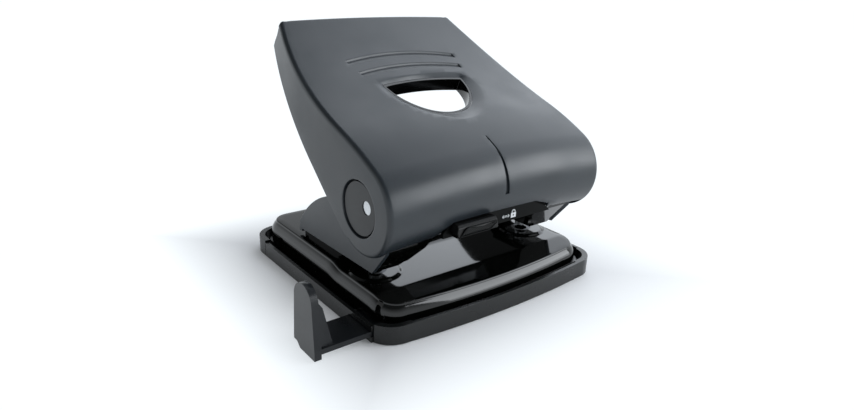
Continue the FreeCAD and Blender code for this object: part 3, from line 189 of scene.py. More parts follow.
def fill(outline, holes, points):
    """Triangles between an outline and its holes, through all the given points."""
    loops = [outline, *holes]
    corners, edges = [], []
    for loop in loops:
        first = len(corners)
        corners.extend(loop)
        edges.extend((first + i, first + (i + 1) % len(loop)) for i in range(len(loop)))
    corners.extend(points)
    verts, _, faces, *_ = delaunay_2d_cdt([Vector(p) for p in corners], edges, [], 1, 1e-6)
    places = np.array([v[:] for v in verts])
    middles = np.array([places[list(face)].mean(axis=0) for face in faces])
    kept = inside(middles, np.array(outline))
    for hole in holes:
        kept &= ~inside(middles, np.array(hole))
    return places, [tuple(face) for face, keep in zip(faces, kept) if keep]


# ---------------------------------------------------------------- mesh building

class Shell:
    """Vertices and faces gathered in millimetres; each vertex has an outer and an inner place."""

    def __init__(self):
        self.outer, self.inner, self.faces = [], [], []

    def add(self, outer, inner, faces):
        """Add points with the faces between them."""
        first = len(self.outer)
        self.outer.extend(outer)
        self.inner.extend(inner)
        self.faces.extend(tuple(first + i for i in face) for face in faces)

    def strips(self, rows_outer, rows_inner, closed):
        """Quads between successive rows of equal length."""
        count = len(rows_outer[0])
        faces = []
        for row in range(len(rows_outer) - 1):
            for i in range(count if closed else count - 1):
                j = (i + 1) % count
                near, far = row * count, (row + 1) * count
                faces.append((near + i, near + j, far + j, far + i))
        self.add(np.vstack(rows_outer), np.vstack(rows_inner), faces)

    def build(self, name, sharp=40):
        """One closed mesh: outer skin, inner skin and the rims between them."""
        bm = bmesh.new()
        outer = [bm.verts.new(Vector(p) * MM) for p in self.outer]
        for face in self.faces:
            bm.faces.new([outer[i] for i in face])
        near = bmesh.ops.find_doubles(bm, verts=bm.verts, dist=4e-6)["targetmap"]
        bm.verts.index_update()
        inner_of = {vert: Vector(self.inner[index]) * MM for index, vert in enumerate(outer)}
        bmesh.ops.weld_verts(bm, targetmap=near)
        bmesh.ops.dissolve_degenerate(bm, dist=1e-7, edges=bm.edges)
        bmesh.ops.recalc_face_normals(bm, faces=bm.faces)
        skin, rims = list(bm.faces), [edge for edge in bm.edges if edge.is_boundary]
        twin = {vert: bm.verts.new(inner_of[vert]) for vert in list(bm.verts)}
        for face in skin:
            bm.faces.new([twin[vert] for vert in reversed(face.verts)])
        for edge in rims:
            a, b = edge.verts
            bm.faces.new((a, b, twin[b], twin[a]))
        bmesh.ops.recalc_face_normals(bm, faces=bm.faces)
        return from_bmesh(name, bm, sharp)


def from_bmesh(name, bm, sharp=40):
    """A smooth-shaded piece, with sharp edges above an angle."""
    mesh = bpy.data.meshes.new(name)
    bm.to_mesh(mesh)
    bm.free()
    mesh.shade_smooth()
    mesh.set_sharp_from_angle(angle=math.radians(sharp))
    piece = bpy.data.objects.new(name, mesh)
    bpy.context.scene.collection.objects.link(piece)
    return piece


def softened(node, name, width):
    """A copy of a CAD node with its edges slightly rounded, which stands for the node."""
    bm = bmesh.new()
    bm.from_mesh(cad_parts[node].data)
    bmesh.ops.remove_doubles(bm, verts=bm.verts, dist=2e-6)
    bmesh.ops.dissolve_limit(bm, angle_limit=math.radians(0.4), verts=bm.verts, edges=bm.edges)
    piece = from_bmesh(name, bm)
    bevel = piece.modifiers.new("edges", "BEVEL")
    bevel.width = width * MM
    bevel.segments = 2
    bevel.limit_method = "ANGLE"
    bevel.angle_limit = math.radians(30)
    bevel.harden_normals = True
    graph = bpy.context.evaluated_depsgraph_get()
    mesh = bpy.data.meshes.new_from_object(piece.evaluated_get(graph))
    piece.modifiers.clear()
    piece.data = mesh
    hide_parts(node)
    return piece


# ---------------------------------------------------------------- materials

def colour(red, green, blue):
    """Linear colour from 0-255 display values."""
    def linear(value):
        value /= 255
        return value / 12.92 if value <= 0.04045 else ((value + 0.055) / 1.055) ** 2.4
    return (linear(red), linear(green), linear(blue), 1.0)


class Nodes:
    """The node tree of a material or world, with short calls to add and join nodes."""

    def __init__(self, owner, output="ShaderNodeOutputMaterial", place="Object"):
        owner.use_nodes = True
        self.owner, self.tree = owner, owner.node_tree
        self.tree.nodes.clear()
        self.output = self.add(output)
        self.place = self.add("ShaderNodeTexCoord").outputs[place]

    def feed(self, socket, value):
        """Join a socket to another node's output, or set it to a plain value."""
        if isinstance(value, bpy.types.NodeSocket):
            self.tree.links.new(value, socket)
        else:
            socket.default_value = value

    def add(self, kind, settings=None, **inputs):
        """A new node with its settings and inputs."""
        node = self.tree.nodes.new(kind)
        for key, value in (settings or {}).items():
            setattr(node, key, value)
        for key, value in inputs.items():
            self.feed(node.inputs[key.replace("_", " ")], value)
        return node

    def noise(self, per_metre, detail=2.0, roughness=0.5):
        """Soft noise fixed to the piece."""
        return self.add("ShaderNodeTexNoise", Vector=self.place, Scale=per_metre, Detail=detail,
                        Roughness=roughness).outputs["Fac"]

    def ramp(self, value, low, high, to_low, to_high):
        """A value carried from one range to another."""
        return self.add("ShaderNodeMapRange", Value=value, From_Min=low, From_Max=high, To_Min=to_low,
                        To_Max=to_high).outputs["Result"]

    def blend(self, fac, first, second):
        """One colour fading to another."""
        node = self.add("ShaderNodeMix", dict(data_type="RGBA"))
        for socket, value in ((node.inputs[0], fac), (node.inputs[6], first), (node.inputs[7], second)):
            self.feed(socket, value)
        return node.outputs[2]

    def fade(self, fac, first, second):
        """One shader fading to another."""
        node = self.add("ShaderNodeMixShader")
        for socket, value in zip(node.inputs, (fac, first, second)):
            self.feed(socket, value)
        return node.outputs[0]

    def bump(self, height, strength, distance):
        """A normal tilted by a height."""
        return self.add("ShaderNodeBump", Height=height, Strength=strength,
                        Distance=distance).outputs["Normal"]

    def maths(self, operation, *values):
        """The result of one operation on the values."""
        node = self.add("ShaderNodeMath", dict(operation=operation))
        for socket, value in zip(node.inputs, values):
            self.feed(socket, value)
        return node.outputs[0]

    def beyond(self, half_x, half_y):
        """Distance outside a rectangle about the origin."""
        split = self.add("ShaderNodeSeparateXYZ", Vector=self.place)
        gaps = [self.maths("SUBTRACT", self.maths("ABSOLUTE", split.outputs[axis]), half)
                for axis, half in (("X", half_x), ("Y", half_y))]
        return self.maths("MAXIMUM", *gaps)

    def seen_or_lit(self, seen, lit):
        """One look for camera, glossy and transmission rays, another for light on the object."""
        path = self.add("ShaderNodeLightPath").outputs
        rays = self.maths("MAXIMUM", path["Is Camera Ray"], path["Is Glossy Ray"])
        return self.fade(self.maths("MAXIMUM", rays, path["Is Transmission Ray"]), lit, seen)

    def finish(self, shader):
        """Join the shader to the output; the material or world comes back."""
        self.feed(self.output.inputs["Surface"], shader)
        return self.owner


def shaded(base, share):
    """A colour made darker or lighter by a share."""
    return tuple(min(value * share, 1) for value in base[:3]) + (1,)


def moulded(name, base, rough, grain=3200.0, depth=0.00004, specular=0.5):
    """Moulded plastic: spark-eroded grain, faint colour mottling and slightly uneven gloss."""
    n = Nodes(bpy.data.materials.new(name))
    broad = n.noise(55.0, 3.0)
    fine = n.noise(grain, 2.0, 0.6)
    light = shaded(base, 1.12)
    tint = n.blend(n.ramp(broad, 0.3, 0.7, 0.0, 1.0), shaded(base, 0.88), light)
    speck = n.blend(n.ramp(fine, 0.35, 0.65, 0.0, 1.0), shaded(base, 0.9), light)
    shader = n.add("ShaderNodeBsdfPrincipled", Base_Color=n.blend(0.35, tint, speck),
                   Roughness=n.ramp(broad, 0.3, 0.7, rough - 0.06, rough + 0.06),
                   Normal=n.bump(fine, 0.5, depth), Specular_IOR_Level=specular)
    return n.finish(shader.outputs[0])


def enamel(name, base, rough=0.07, waviness=0.00002):
    """Stove enamel: deep gloss with a faint orange-peel wave and dust-fine roughness change."""
    n = Nodes(bpy.data.materials.new(name))
    wave = n.noise(260.0, 2.0)
    patch = n.noise(40.0, 3.0)
    tint = n.blend(n.ramp(patch, 0.3, 0.7, 0.0, 1.0), base, shaded(base, 1.5))
    shader = n.add("ShaderNodeBsdfPrincipled", Base_Color=tint,
                   Roughness=n.ramp(patch, 0.3, 0.7, rough * 0.8, rough * 1.25),
                   Normal=n.bump(wave, 0.3, waviness))
    return n.finish(shader.outputs[0])


def metal(name, base, rough=0.25, brushed=0.00001):
    """Plated or turned steel with fine turning marks."""
    n = Nodes(bpy.data.materials.new(name))
    marks = n.noise(5200.0, 2.0)
    patch = n.noise(300.0, 2.0)
    tint = n.blend(n.ramp(patch, 0.3, 0.7, 0.0, 1.0), base, shaded(base, 0.85))
    shader = n.add("ShaderNodeBsdfPrincipled", Base_Color=tint, Metallic=1.0,
                   Roughness=n.ramp(marks, 0.3, 0.7, rough * 0.8, rough * 1.3),
                   Normal=n.bump(marks, 0.4, brushed))
    return n.finish(shader.outputs[0])


GREY = moulded("grey_abs", colour(40, 46, 51), rough=0.34)
CAP = moulded("cap_abs", colour(21, 24, 27), rough=0.34, specular=0.36)
GUIDE = moulded("guide_abs", colour(21, 24, 27), rough=0.3, grain=4200, depth=0.00002, specular=0.4)
BLACK = moulded("black_abs", colour(16, 18, 18), rough=0.28, grain=4200, depth=0.00002)
DEEP = moulded("black_gloss_abs", colour(8, 9, 9), rough=0.13, grain=4200, depth=0.00001)
ENAMEL = enamel("black_enamel", colour(4, 5, 4))
STEEL = metal("bright_steel", (0.6, 0.62, 0.64, 1))
SPRING = metal("spring_steel", (0.4, 0.41, 0.43, 1), rough=0.3)
BLUED = metal("blued_steel", (0.04, 0.042, 0.048, 1), rough=0.25)
LINER = moulded("dull_black_abs", colour(6, 7, 7), rough=0.45, specular=0.08)
THUMB = moulded("thumb_abs", colour(9, 10, 10), rough=0.36, specular=0.2)
WHITE = moulded("white_print", colour(225, 228, 230), rough=0.5, grain=5000, depth=0.00001)

NODE_MATERIALS = {
    "tray_frame": BLACK, "chip_pan": BLACK, "pan_hinge_pins": STEEL, "base_plate": ENAMEL,
    "die_left": BLUED, "die_right": BLUED, "plate_standoffs": SPRING, "tray_screws": SPRING,
    "bracket_left": ENAMEL, "bracket_right": ENAMEL, "bracket_rivets": SPRING,
    "bracket_cover_left": GREY, "bracket_cover_right": GREY, "punch_pin_left": STEEL,
    "punch_pin_right": STEEL, "spring_washer_left": SPRING, "spring_washer_right": SPRING,
    "retaining_ring_left": SPRING, "retaining_ring_right": SPRING, "return_spring_left": SPRING,
    "return_spring_right": SPRING, "lever_cover": GREY, "hand_collar": DEEP, "pivot_cap_left": CAP,
    "pivot_cap_right": CAP, "axle": STEEL, "lever_liner": LINER, "press_lever": SPRING,
    "lever_screws": SPRING, "lock_slider": THUMB, "lock_bar": LINER, "paper_guide": GUIDE,
}


def dress(piece, material):
    """Give a piece one material."""
    piece.data.materials.clear()
    piece.data.materials.append(material)


def dress_frame():
    """Give every CAD node its material."""
    for node, material in NODE_MATERIALS.items():
        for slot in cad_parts[node].material_slots:
            slot.material = material


# ---------------------------------------------------------------- lever cover

def direction(degrees):
    """Unit vector at a turn."""
    return np.array([math.cos(math.radians(degrees)), math.sin(math.radians(degrees))])


def turn_of(vector):
    """Turn of a vector in degrees."""
    return math.degrees(math.atan2(vector[1], vector[0]))


def lever_half(y, z):
    """Half width of the lever; its sides draw in along a sloping line."""
    along = (np.asarray(y, float) - ROLL[0]) * DRAW[0] + (np.asarray(z, float) - ROLL[1]) * DRAW[1]
    behind = np.maximum(along - SIDE_START, 0)
    return LEVER_HALF - SIDE_RADIUS + np.sqrt(SIDE_RADIUS ** 2 - behind ** 2)


def corner_bezier(before, corner, after, reach, count):
    """A rounded corner that starts and ends at one distance from its point."""
    ahead = (np.array(after) - corner) / np.linalg.norm(np.array(after) - corner)
    behind = (np.array(before) - corner) / np.linalg.norm(np.array(before) - corner)
    return bezier(corner + behind * reach, corner, corner + ahead * reach, count)


def lever_outline(rise):
    """Outline from the lip over roll, shoulder, hollow top and tail, and back below to the lip.

    It comes with the numbers of the skin's last point and of the point where the roll starts below.
    """
    roll = np.array(ROLL) + (0, rise * ROLL_CROWN)
    back, tail = np.array(BACK) + (0, rise * BACK_CROWN), np.array(TAIL)
    shoulder = roll + (ROLL_RADIUS - SHOULDER_RADIUS) * direction(SHOULDER_ANGLE)
    apart = back - shoulder
    distance = np.linalg.norm(apart)
    reach = SHOULDER_RADIUS + HOLLOW_RADIUS
    along = (reach ** 2 - HOLLOW_RADIUS ** 2 + distance ** 2) / (2 * distance)
    unit = apart / distance
    bend = shoulder + unit * along + np.array([-unit[1], unit[0]]) * math.sqrt(reach ** 2 - along ** 2)
    meet = turn_of(bend - shoulder)
    lip = LIP_ANGLE + rise * LIP_TURN
    under = turn_of(tail - roll) - math.degrees(math.acos(ROLL_RADIUS / np.linalg.norm(tail - roll)))
    below = roll + ROLL_RADIUS * direction(under)
    top = circle_points(bend, HOLLOW_RADIUS, meet - 180, turn_of(back - bend), 800)[:-20]
    skin = [circle_points(roll, ROLL_RADIUS, lip, SHOULDER_ANGLE, ROLL_POINTS)[:-1],
            circle_points(shoulder, SHOULDER_RADIUS, SHOULDER_ANGLE, meet, 300)[:-1], top[:-1],
            corner_bezier(top[-1], back, tail, np.linalg.norm(top[-1] - back), 30)[:-1],
            corner_bezier(back, tail, below, 0.8, 14)]
    belly = [np.linspace(tail + (below - tail) * 0.02, below, BELLY_POINTS)[:-1],
             circle_points(roll, ROLL_RADIUS, under, LIP_ANGLE - 360, 240)[:-1]]
    skin = np.vstack(skin)
    return np.vstack([skin, *belly, skin[:1]]), len(skin) - 1, len(skin) + BELLY_POINTS - 2


class Outline:
    """Place and outward normal at a run length along the lever's outline, for the side and the middle."""

    def __init__(self):
        self.side, end, under = lever_outline(0.0)
        self.middle = lever_outline(1.0)[0]
        self.run = np.r_[0, np.cumsum(np.linalg.norm(np.diff(self.side, axis=0), axis=1))]
        self.skin_end, self.under = self.run[end], self.run[under]
        self.roll_end = self.run[ROLL_POINTS - 1]
        self.rear_start = self.run[end - REAR_POINTS]

    def between(self, rise, run):
        """Places between the outlines of the side (rise 0) and the middle (rise 1)."""
        rise = np.asarray(rise, float)[:, None]
        side, middle = (np.c_[np.interp(run, self.run, points[:, 0]),
                              np.interp(run, self.run, points[:, 1])]
                        for points in (self.side, self.middle))
        return side * (1 - rise) + middle * rise

    def at(self, points):
        """Place and normal of (X, run) points."""
        rise, run = rise_at(points[:, 0]), points[:, 1]
        ahead = self.between(rise, np.minimum(run + 0.15, self.run[-1]))
        behind = self.between(rise, np.maximum(run - 0.15, 0))
        step = ahead - behind
        normal = np.c_[-step[:, 1], step[:, 0]] / np.linalg.norm(step, axis=1)[:, None]
        return self.between(rise, run), normal

    def run_where(self, x, value, axis, first, last):
        """Run length between two limits where the surface at x passes a value of Y or Z."""
        x, value = np.asarray(x, float), np.asarray(value, float)
        picked = (self.run >= first) & (self.run <= last)
        side, middle, run = self.side[picked, axis], self.middle[picked, axis], self.run[picked]
        rise, found = rise_at(x), np.zeros_like(value)
        for _ in range(6):
            shift = np.interp(found, run, middle - side) * rise
            found = np.interp(value - shift, side, run)
        return found

    def run_of_top(self, x, y):
        """Run length of a plan place on the top."""
        return self.run_where(x, y, 0, self.roll_end - 12, self.rear_start)

    def run_of_roll(self, x, z):
        """Run length of a front-view place on the roll."""
        return self.run_where(x, z, 1, 0, self.roll_end + 10)


def rise_at(x):
    """Share of the crown at X: 0 at the sides, 1 in the middle."""
    return 1 - (np.asarray(x, float) / LEVER_HALF) ** 2


OUTLINE = Outline()


def on_top(points):
    """Plan places (X, Y) on the lever's top as (X, run)."""
    points = np.asarray(points, float)
    return np.c_[points[:, 0], OUTLINE.run_of_top(points[:, 0], points[:, 1])]


def closed_curve(points, step=0.8):
    """A smooth closed curve through given points."""
    points = np.asarray(points, float)
    path = []
    for p0, p1, p2, p3 in zip(*(np.roll(points, shift, 0) for shift in (1, 0, -1, -2))):
        for t in np.linspace(0, 1, 12, endpoint=False):
            path.append(0.5 * (2 * p1 + (p2 - p0) * t + (2 * p0 - 5 * p1 + 4 * p2 - p3) * t * t
                               + (3 * p1 - p0 - 3 * p2 + p3) * t ** 3))
    return resample(np.array(path), step, closed=True)


def hand_outline(grow):
    """The D-shaped opening in its own plane: X across, second value up the slope."""
    half, length = HAND_HALF + grow, HAND_LENGTH + grow
    left, right = (-half, grow - 1), (half, grow - 1)
    low_left, low_right = (-half * 0.62, -length * 0.78), (half * 0.62, -length * 0.78)
    arcs = [three_point_arc(left, (0, grow + 0.9), right, 24),
            three_point_arc(right, (half * 0.9, -length * 0.42), low_right, 14),
            three_point_arc(low_right, (0, -length), low_left, 20),
            three_point_arc(low_left, (-half * 0.9, -length * 0.42), left, 14)]
    return np.vstack([arc[:-1] for arc in arcs])


def hand_frame():
    """A point of the lever's top, its slope direction and its normal where the opening starts."""
    place, normal = OUTLINE.at(on_top([(0.0, HAND_LINE)]))
    return place[0], np.array([normal[0, 1], -normal[0, 0]]), normal[0]


def height_over_frame(points):
    """How far the lever's plain top stands over the opening's plane at (X, run) points."""
    origin, _, out = hand_frame()
    return (OUTLINE.at(points)[0] - origin) @ out


def hand_loops():
    """Inner and outer loops of the dished border, in (X, run)."""
    origin, slope, out = hand_frame()
    flat = resample(hand_outline(COLLAR_WALL), 0.8, closed=True)
    lift = np.zeros(len(flat))
    for _ in range(5):
        spot = origin + flat[:, 1:] * slope + lift[:, None] * out
        inner = on_top(np.c_[flat[:, 0], spot[:, 0]])
        lift = height_over_frame(inner)
    return inner, closed_curve(on_top(DISH_BORDER))


class Groove:
    """A bowed finger rest: a steep rear wall and a floor that rises gently to the front."""

    depth, wall, reach, lead = 0.78, 0.85, 3.5, 0.35

    def __init__(self, ends):
        path = on_top(three_point_arc(*ends, 60))
        self.x, self.run = path[:, 0], path[:, 1]

    def front(self, x):
        """How far the floor reaches forward: less towards the round left end."""
        left = np.clip((x - self.x[0]) / 2.2, 0, 1)
        return self.wall + 0.2 + (self.reach - self.wall - 0.2) * np.sqrt(1 - (1 - left) ** 2)

    def drop(self, points):
        """Depth of the groove at (X, run) points."""
        x = points[:, 0]
        ahead = np.interp(x, self.x, self.run) + self.lead - points[:, 1]
        front = self.front(x)
        wall = smooth_step(ahead, -0.1, self.wall)
        floor = np.clip((ahead - self.wall) / (front - self.wall), 0, 1)
        rising = 0.14 + 0.86 * (1 - floor)
        edge = 1 - smooth_step(ahead, front - 0.3, front + 0.05)
        ends = smooth_step(x, self.x[0] - 0.3, self.x[0] + 0.5)
        ends *= 1 - smooth_step(x, self.x[-1] + 0.1, self.x[-1] + 0.5)
        return self.depth * np.minimum(wall, rising) * edge * ends

    def points(self):
        """Mesh points that follow the groove's edges."""
        x = np.r_[self.x[0] + np.array([-0.5, -0.3, -0.1, 0.1, 0.3, 0.5, 0.8]),
                  np.arange(self.x[0] + 1.4, self.x[-1] - 0.3, 0.9),
                  self.x[-1] + np.array([-0.1, 0.1, 0.25, 0.4, 0.6])]
        run, front = np.interp(x, self.x, self.run) + self.lead, self.front(x)
        shares = [np.full_like(x, v) for v in (-0.25, -0.1, 0.1, 0.3, 0.55, 0.75, 0.9, 1.05)]
        shares += [(front + 0.9) / 2, front - 0.8, front - 0.35, front - 0.15, front + 0.05, front + 0.2]
        return np.vstack([np.c_[x, run - ahead] for ahead in shares])


GROOVES = (Groove(((-28.4, 17.5), (0.0, 20.2), (27.3, 17.5))),
           Groove(((-26.7, 9.9), (0.0, 12.45), (25.4, 10.25))))


def slit_half(z):
    """Half width of the centre slit at a height."""
    share = np.clip((z - SLIT[0]) / (SLIT[1] - SLIT[0]), 0, 1)
    return SLIT_HALF * (1 - share) + SLIT_END * share


def slit_points():
    """Mesh points that follow the slit's edges."""
    rows = []
    for z in np.r_[SLIT[0] + np.array([-0.3, -0.1, 0.0, 0.12, 0.3]),
                   np.arange(SLIT[0] + 1, SLIT[1] - 1, 0.9),
                   SLIT[1] + np.array([-0.6, -0.3, 0.0, 0.3])]:
        half = slit_half(z)
        rows += [(x, z) for x in (-half - 0.25, -half - 0.08, -half + 0.08, 0.0,
                                  half - 0.08, half + 0.08, half + 0.25)]
    rows = np.array(rows)
    return np.c_[rows[:, 0], OUTLINE.run_of_roll(rows[:, 0], rows[:, 1])]


def relief(points, dish):
    """How far the lever's skin stands off its plain outline at (X, run) places."""
    place, _ = OUTLINE.at(points)
    inner, outer = dish
    held = inside(points, outer)
    near_in, near_out = line_distance(points, inner, True), line_distance(points, outer, True)
    part = near_in / (near_in + near_out + 1e-9)
    depth = COLLAR_TOP + height_over_frame(points)
    height = -np.where(held, depth * (1 - part) ** 1.15, 0)
    for groove in GROOVES:
        height -= groove.drop(points)
    z = place[:, 1]
    on_roll = (place[:, 0] < ROLL[0]) & (z > SLIT[0] - 0.15) & (z < SLIT[1] + 0.3)
    across = np.abs(points[:, 0]) - slit_half(z)
    cut = (1 - smooth_step(across, -0.1, 0.1)) * smooth_step(z, SLIT[0] - 0.1, SLIT[0] + 0.1)
    cut *= 1 - smooth_step(z, SLIT[1] - 0.3, SLIT[1])
    return height - np.where(on_roll, SLIT_DEPTH * cut, 0)


def lever_skin(points, dish):
    """Outer and inner places of the lever's skin for (X, run) points."""
    place, normal = OUTLINE.at(points)
    outer = place + normal * relief(points, dish)[:, None]
    inner = place - normal * LEVER_WALL
    limit = lever_half(place[:, 0], place[:, 1]) - LEVER_WALL - WALL_GAP
    return np.c_[points[:, 0], outer], np.c_[np.clip(points[:, 0], -limit, limit), inner]


def stations(first, last):
    """Run lengths of the cross rows, close together where the outline bends."""
    runs = [first]
    while runs[-1] < last - 0.5:
        run = runs[-1]
        ahead = min(run + 0.8, OUTLINE.run[-1])
        _, normal = OUTLINE.at(np.array([(LEVER_HALF, run), (LEVER_HALF, ahead)]))
        bend = math.degrees(math.acos(min(normal[0] @ normal[1], 1.0)))
        runs.append(run + np.clip(3.2 / (bend + 1e-6), 0.3, 3.0))
    runs[-1] = last
    return np.array(runs)


def edge_radius(run):
    """Rounding between skin and side: small along the open underside."""
    small = smooth_step(run, OUTLINE.skin_end - 5, OUTLINE.skin_end - 1)
    small *= 1 - smooth_step(run, OUTLINE.under, OUTLINE.under + 4)
    return EDGE_ROUND + (LIP_ROUND - EDGE_ROUND) * small


def skin_depth(run):
    """Thickness below the rounding: the cover's wall, and nothing where its underside is open."""
    open_part = smooth_step(run, OUTLINE.skin_end - 0.3, OUTLINE.skin_end)
    open_part = open_part * (1 - smooth_step(run, OUTLINE.run[-1] - 0.3, OUTLINE.run[-1]))
    return LEVER_WALL * (1 - open_part)


def edge_rows(runs, turn, side):
    """Outer and inner places on the rounded edge: turn 0 at the skin, 90 degrees at the wall."""
    radius = edge_radius(runs)
    place, _ = OUTLINE.at(np.c_[np.full_like(runs, LEVER_HALF), runs])
    half = lever_half(place[:, 0], place[:, 1])
    place, normal = OUTLINE.at(np.c_[half - radius, runs])
    swing = math.radians(turn)
    spot = place - normal * (radius * (1 - math.cos(swing)))[:, None]
    deep = place - normal * (skin_depth(runs) + WALL_GAP * (1 - math.cos(swing)))[:, None]
    outer = np.c_[side * (half - radius * (1 - math.sin(swing))), spot]
    inner = np.c_[side * (half - LEVER_WALL - WALL_GAP * (1 - math.sin(swing))), deep]
    return outer, inner


def side_wall(shell, wall, side):
    """Side wall within its outline, with the bore of the cap."""
    hole = circle_points(CAP_CENTRE, CAP_BORE, 0, 355, 72)
    rounding = np.vstack([circle_points(CAP_CENTRE, CAP_BORE + r, 0, 355, 72) for r in (0.12, 0.3, 0.7)])
    ys, zs = np.meshgrid(np.arange(-50, 52, 4.0), np.arange(24, 102, 4.0))
    grid = np.c_[ys.ravel(), zs.ravel()]
    grid = grid[inside(grid, wall) & (line_distance(grid, wall, True) > 1.5)]
    grid = grid[np.linalg.norm(grid - CAP_CENTRE, axis=1) > CAP_BORE + 2]
    flat, faces = fill(wall, [hole], np.vstack([grid, rounding]))
    gap = np.linalg.norm(flat - CAP_CENTRE, axis=1) - CAP_BORE
    sink = 0.3 - np.sqrt(np.maximum(0.3 ** 2 - np.maximum(0.3 - gap, 0) ** 2, 0))
    half = lever_half(flat[:, 0], flat[:, 1])
    shell.add(np.c_[side * (half - sink), flat], np.c_[side * (half - LEVER_WALL), flat], faces)


def lever_border(runs, edge):
    """Outline of the developed skin: lip with the notch, sides and tail."""
    notch = np.array(NOTCH)
    notch = np.c_[notch[:, 0], OUTLINE.run_of_roll(notch[:, 0], notch[:, 1])]
    notch = np.vstack([[(notch[0, 0], 0.0)], notch[notch[:, 1] > 0.2], [(notch[-1, 0], 0.0)]])
    lip_left = np.c_[np.linspace(-edge[0], notch[0, 0], 12), np.zeros(12)]
    lip_right = np.c_[np.linspace(notch[-1, 0], edge[0], 12), np.zeros(12)]
    tail = np.c_[np.linspace(edge[-1], -edge[-1], 40), np.full(40, runs[-1])]
    return np.vstack([lip_left[:-1], resample(notch, 0.9)[:-1], lip_right[:-1],
                      np.c_[edge, runs][:-1], tail[:-1], np.c_[-edge, runs][::-1][:-1]])


def skin_points(runs, edge, border, dish):
    """Mesh points of the developed skin: a plain grid, denser round its details."""
    details = [dish[1]]
    near = dish[1][np.argmin(np.linalg.norm(dish[1][None] - dish[0][:, None], axis=2), axis=1)]
    details += [dish[0] * (1 - share) + near * share
                for share in (0.06, 0.15, 0.26, 0.38, 0.5, 0.63, 0.77, 0.9)]
    details += [groove.points() for groove in GROOVES] + [slit_points()]
    details = np.vstack(details)
    grid = np.array([(x, run) for i, run in enumerate(runs[1:-1], 1)
                     for x in np.arange(-50, 50.1, 2.5) if abs(x) < edge[i] - 0.7])
    clear = np.min(np.linalg.norm(grid[:, None] - details[None], axis=2), axis=1) > 0.5
    clear &= ~inside(grid, dish[1]) & (line_distance(grid, border, True) > 0.4)
    kept = np.vstack([grid[clear], details])
    return kept[~inside(kept, dish[0]) & (line_distance(kept, dish[0], True) > 0.05)]


def make_lever_cover():
    """The crowned cover with its finger grooves, dished hand opening, slit and rounded edges."""
    dish = hand_loops()
    runs = stations(0.0, OUTLINE.skin_end)
    edge = np.abs(edge_rows(runs, 0, 1)[0][:, 0])
    border = lever_border(runs, edge)
    flat, faces = fill(border, [dish[0]], skin_points(runs, edge, border, dish))
    shell = Shell()
    shell.add(*lever_skin(flat, dish), faces)
    ring = np.r_[runs, stations(OUTLINE.skin_end, OUTLINE.run[-1])[1:-1]]
    for side in (-1, 1):
        rows = [edge_rows(ring, turn, side) for turn in (0, 12, 26, 40, 54, 68, 80, 90)]
        shell.strips([row[0] for row in rows], [row[1] for row in rows], True)
        side_wall(shell, rows[-1][0][:, 1:], side)
    piece = shell.build("lever_shell")
    dress(piece, GREY)
    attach(piece, "lever")
    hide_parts("lever_cover")


# ---------------------------------------------------------------- base plate

def plate_loop(inset, count=(48, 10, 40, 10, 44, 10, 40, 10)):
    """Plan outline of the plate moved in by a distance, always with the same number of points."""
    half, reach = PLATE["half"] - inset, PLATE["reach"] - inset
    corner = PLATE["corner"] - inset
    side, end = half - corner, reach - corner
    parts = [
        three_point_arc((-side, -reach), (0, -reach - PLATE["bow"]), (side, -reach), count[0]),
        circle_points((side, -end), corner, -90, 0, count[1]),
        np.linspace((half, -end), (half, end), count[2]),
        circle_points((side, end), corner, 0, 90, count[3]),
        np.linspace((side, reach), (-side, reach), count[4]),
        circle_points((-side, end), corner, 90, 180, count[5]),
        np.linspace((-half, end), (-half, -end), count[6]),
        circle_points((-side, -end), corner, 180, 270, count[7]),
    ]
    return np.vstack([part[:-1] for part in parts])


def plate_height(points):
    """Height of the plate's upper surface at plan places, without the shoulder."""
    low, high = PLATE["front_top"], PLATE["rear_top"]
    height = low + (high - low) * smooth_step(points[:, 1], PLATE["step_front"], PLATE["step_rear"])
    ahead = PLATE["fall_start"] - points[:, 1]
    height = height - PLATE["fall"] * (np.hypot(ahead, PLATE["fall_round"]) + ahead) / 2
    foot = RING["radius"] + 0.3
    for x, y in HOLES:
        gap = np.hypot(points[:, 0] - x, points[:, 1] - y)
        fall = smooth_step(gap, RING["radius"] - RING["slope"] - 0.3, foot)
        ring = RING["top"] - (RING["top"] - low) * fall
        height = np.where(gap < foot, np.maximum(height, ring), height)
    return height


def shoulder_rows():
    """Share of the way out and drop of each row over the shoulder."""
    rows = [(0.0, 0.0)]
    for radius, first, last, count in PLATE["bends"]:
        for swing in range(1, count + 1):
            before = math.radians(first + (last - first) * (swing - 1) / count)
            after = math.radians(first + (last - first) * swing / count)
            out, drop = rows[-1]
            rows.append((out + radius * (math.sin(after) - math.sin(before)),
                         drop + radius * (math.cos(before) - math.cos(after))))
    reach = rows[-1][0]
    return [(out / reach, drop) for out, drop in rows]


def add_plate_rim(shell):
    """Rows over the shoulder and down the skirt."""
    sheet, seat = PLATE["sheet"], PLATE["seat"]
    rows = shoulder_rows()
    foot = rows[-1][1]
    crease, edge, inside_edge = (plate_loop(inset) for inset in (PLATE["crease"], 0, sheet))
    outer_rows, inner_rows = [], []
    for share, drop in rows:
        loop = crease + (edge - crease) * share
        below = crease + (inside_edge - crease) * share
        outer_rows.append(np.c_[loop, plate_height(loop) - drop])
        inner_rows.append(np.c_[below, plate_height(below) - drop - sheet * (1 - drop / foot)])
    top = plate_height(edge) - foot
    for share in (0.5, 1.0):
        height = top * (1 - share) + seat * share
        outer_rows.append(np.c_[edge, height])
        inner_rows.append(np.c_[inside_edge, height])
    shell.strips(outer_rows, inner_rows, True)


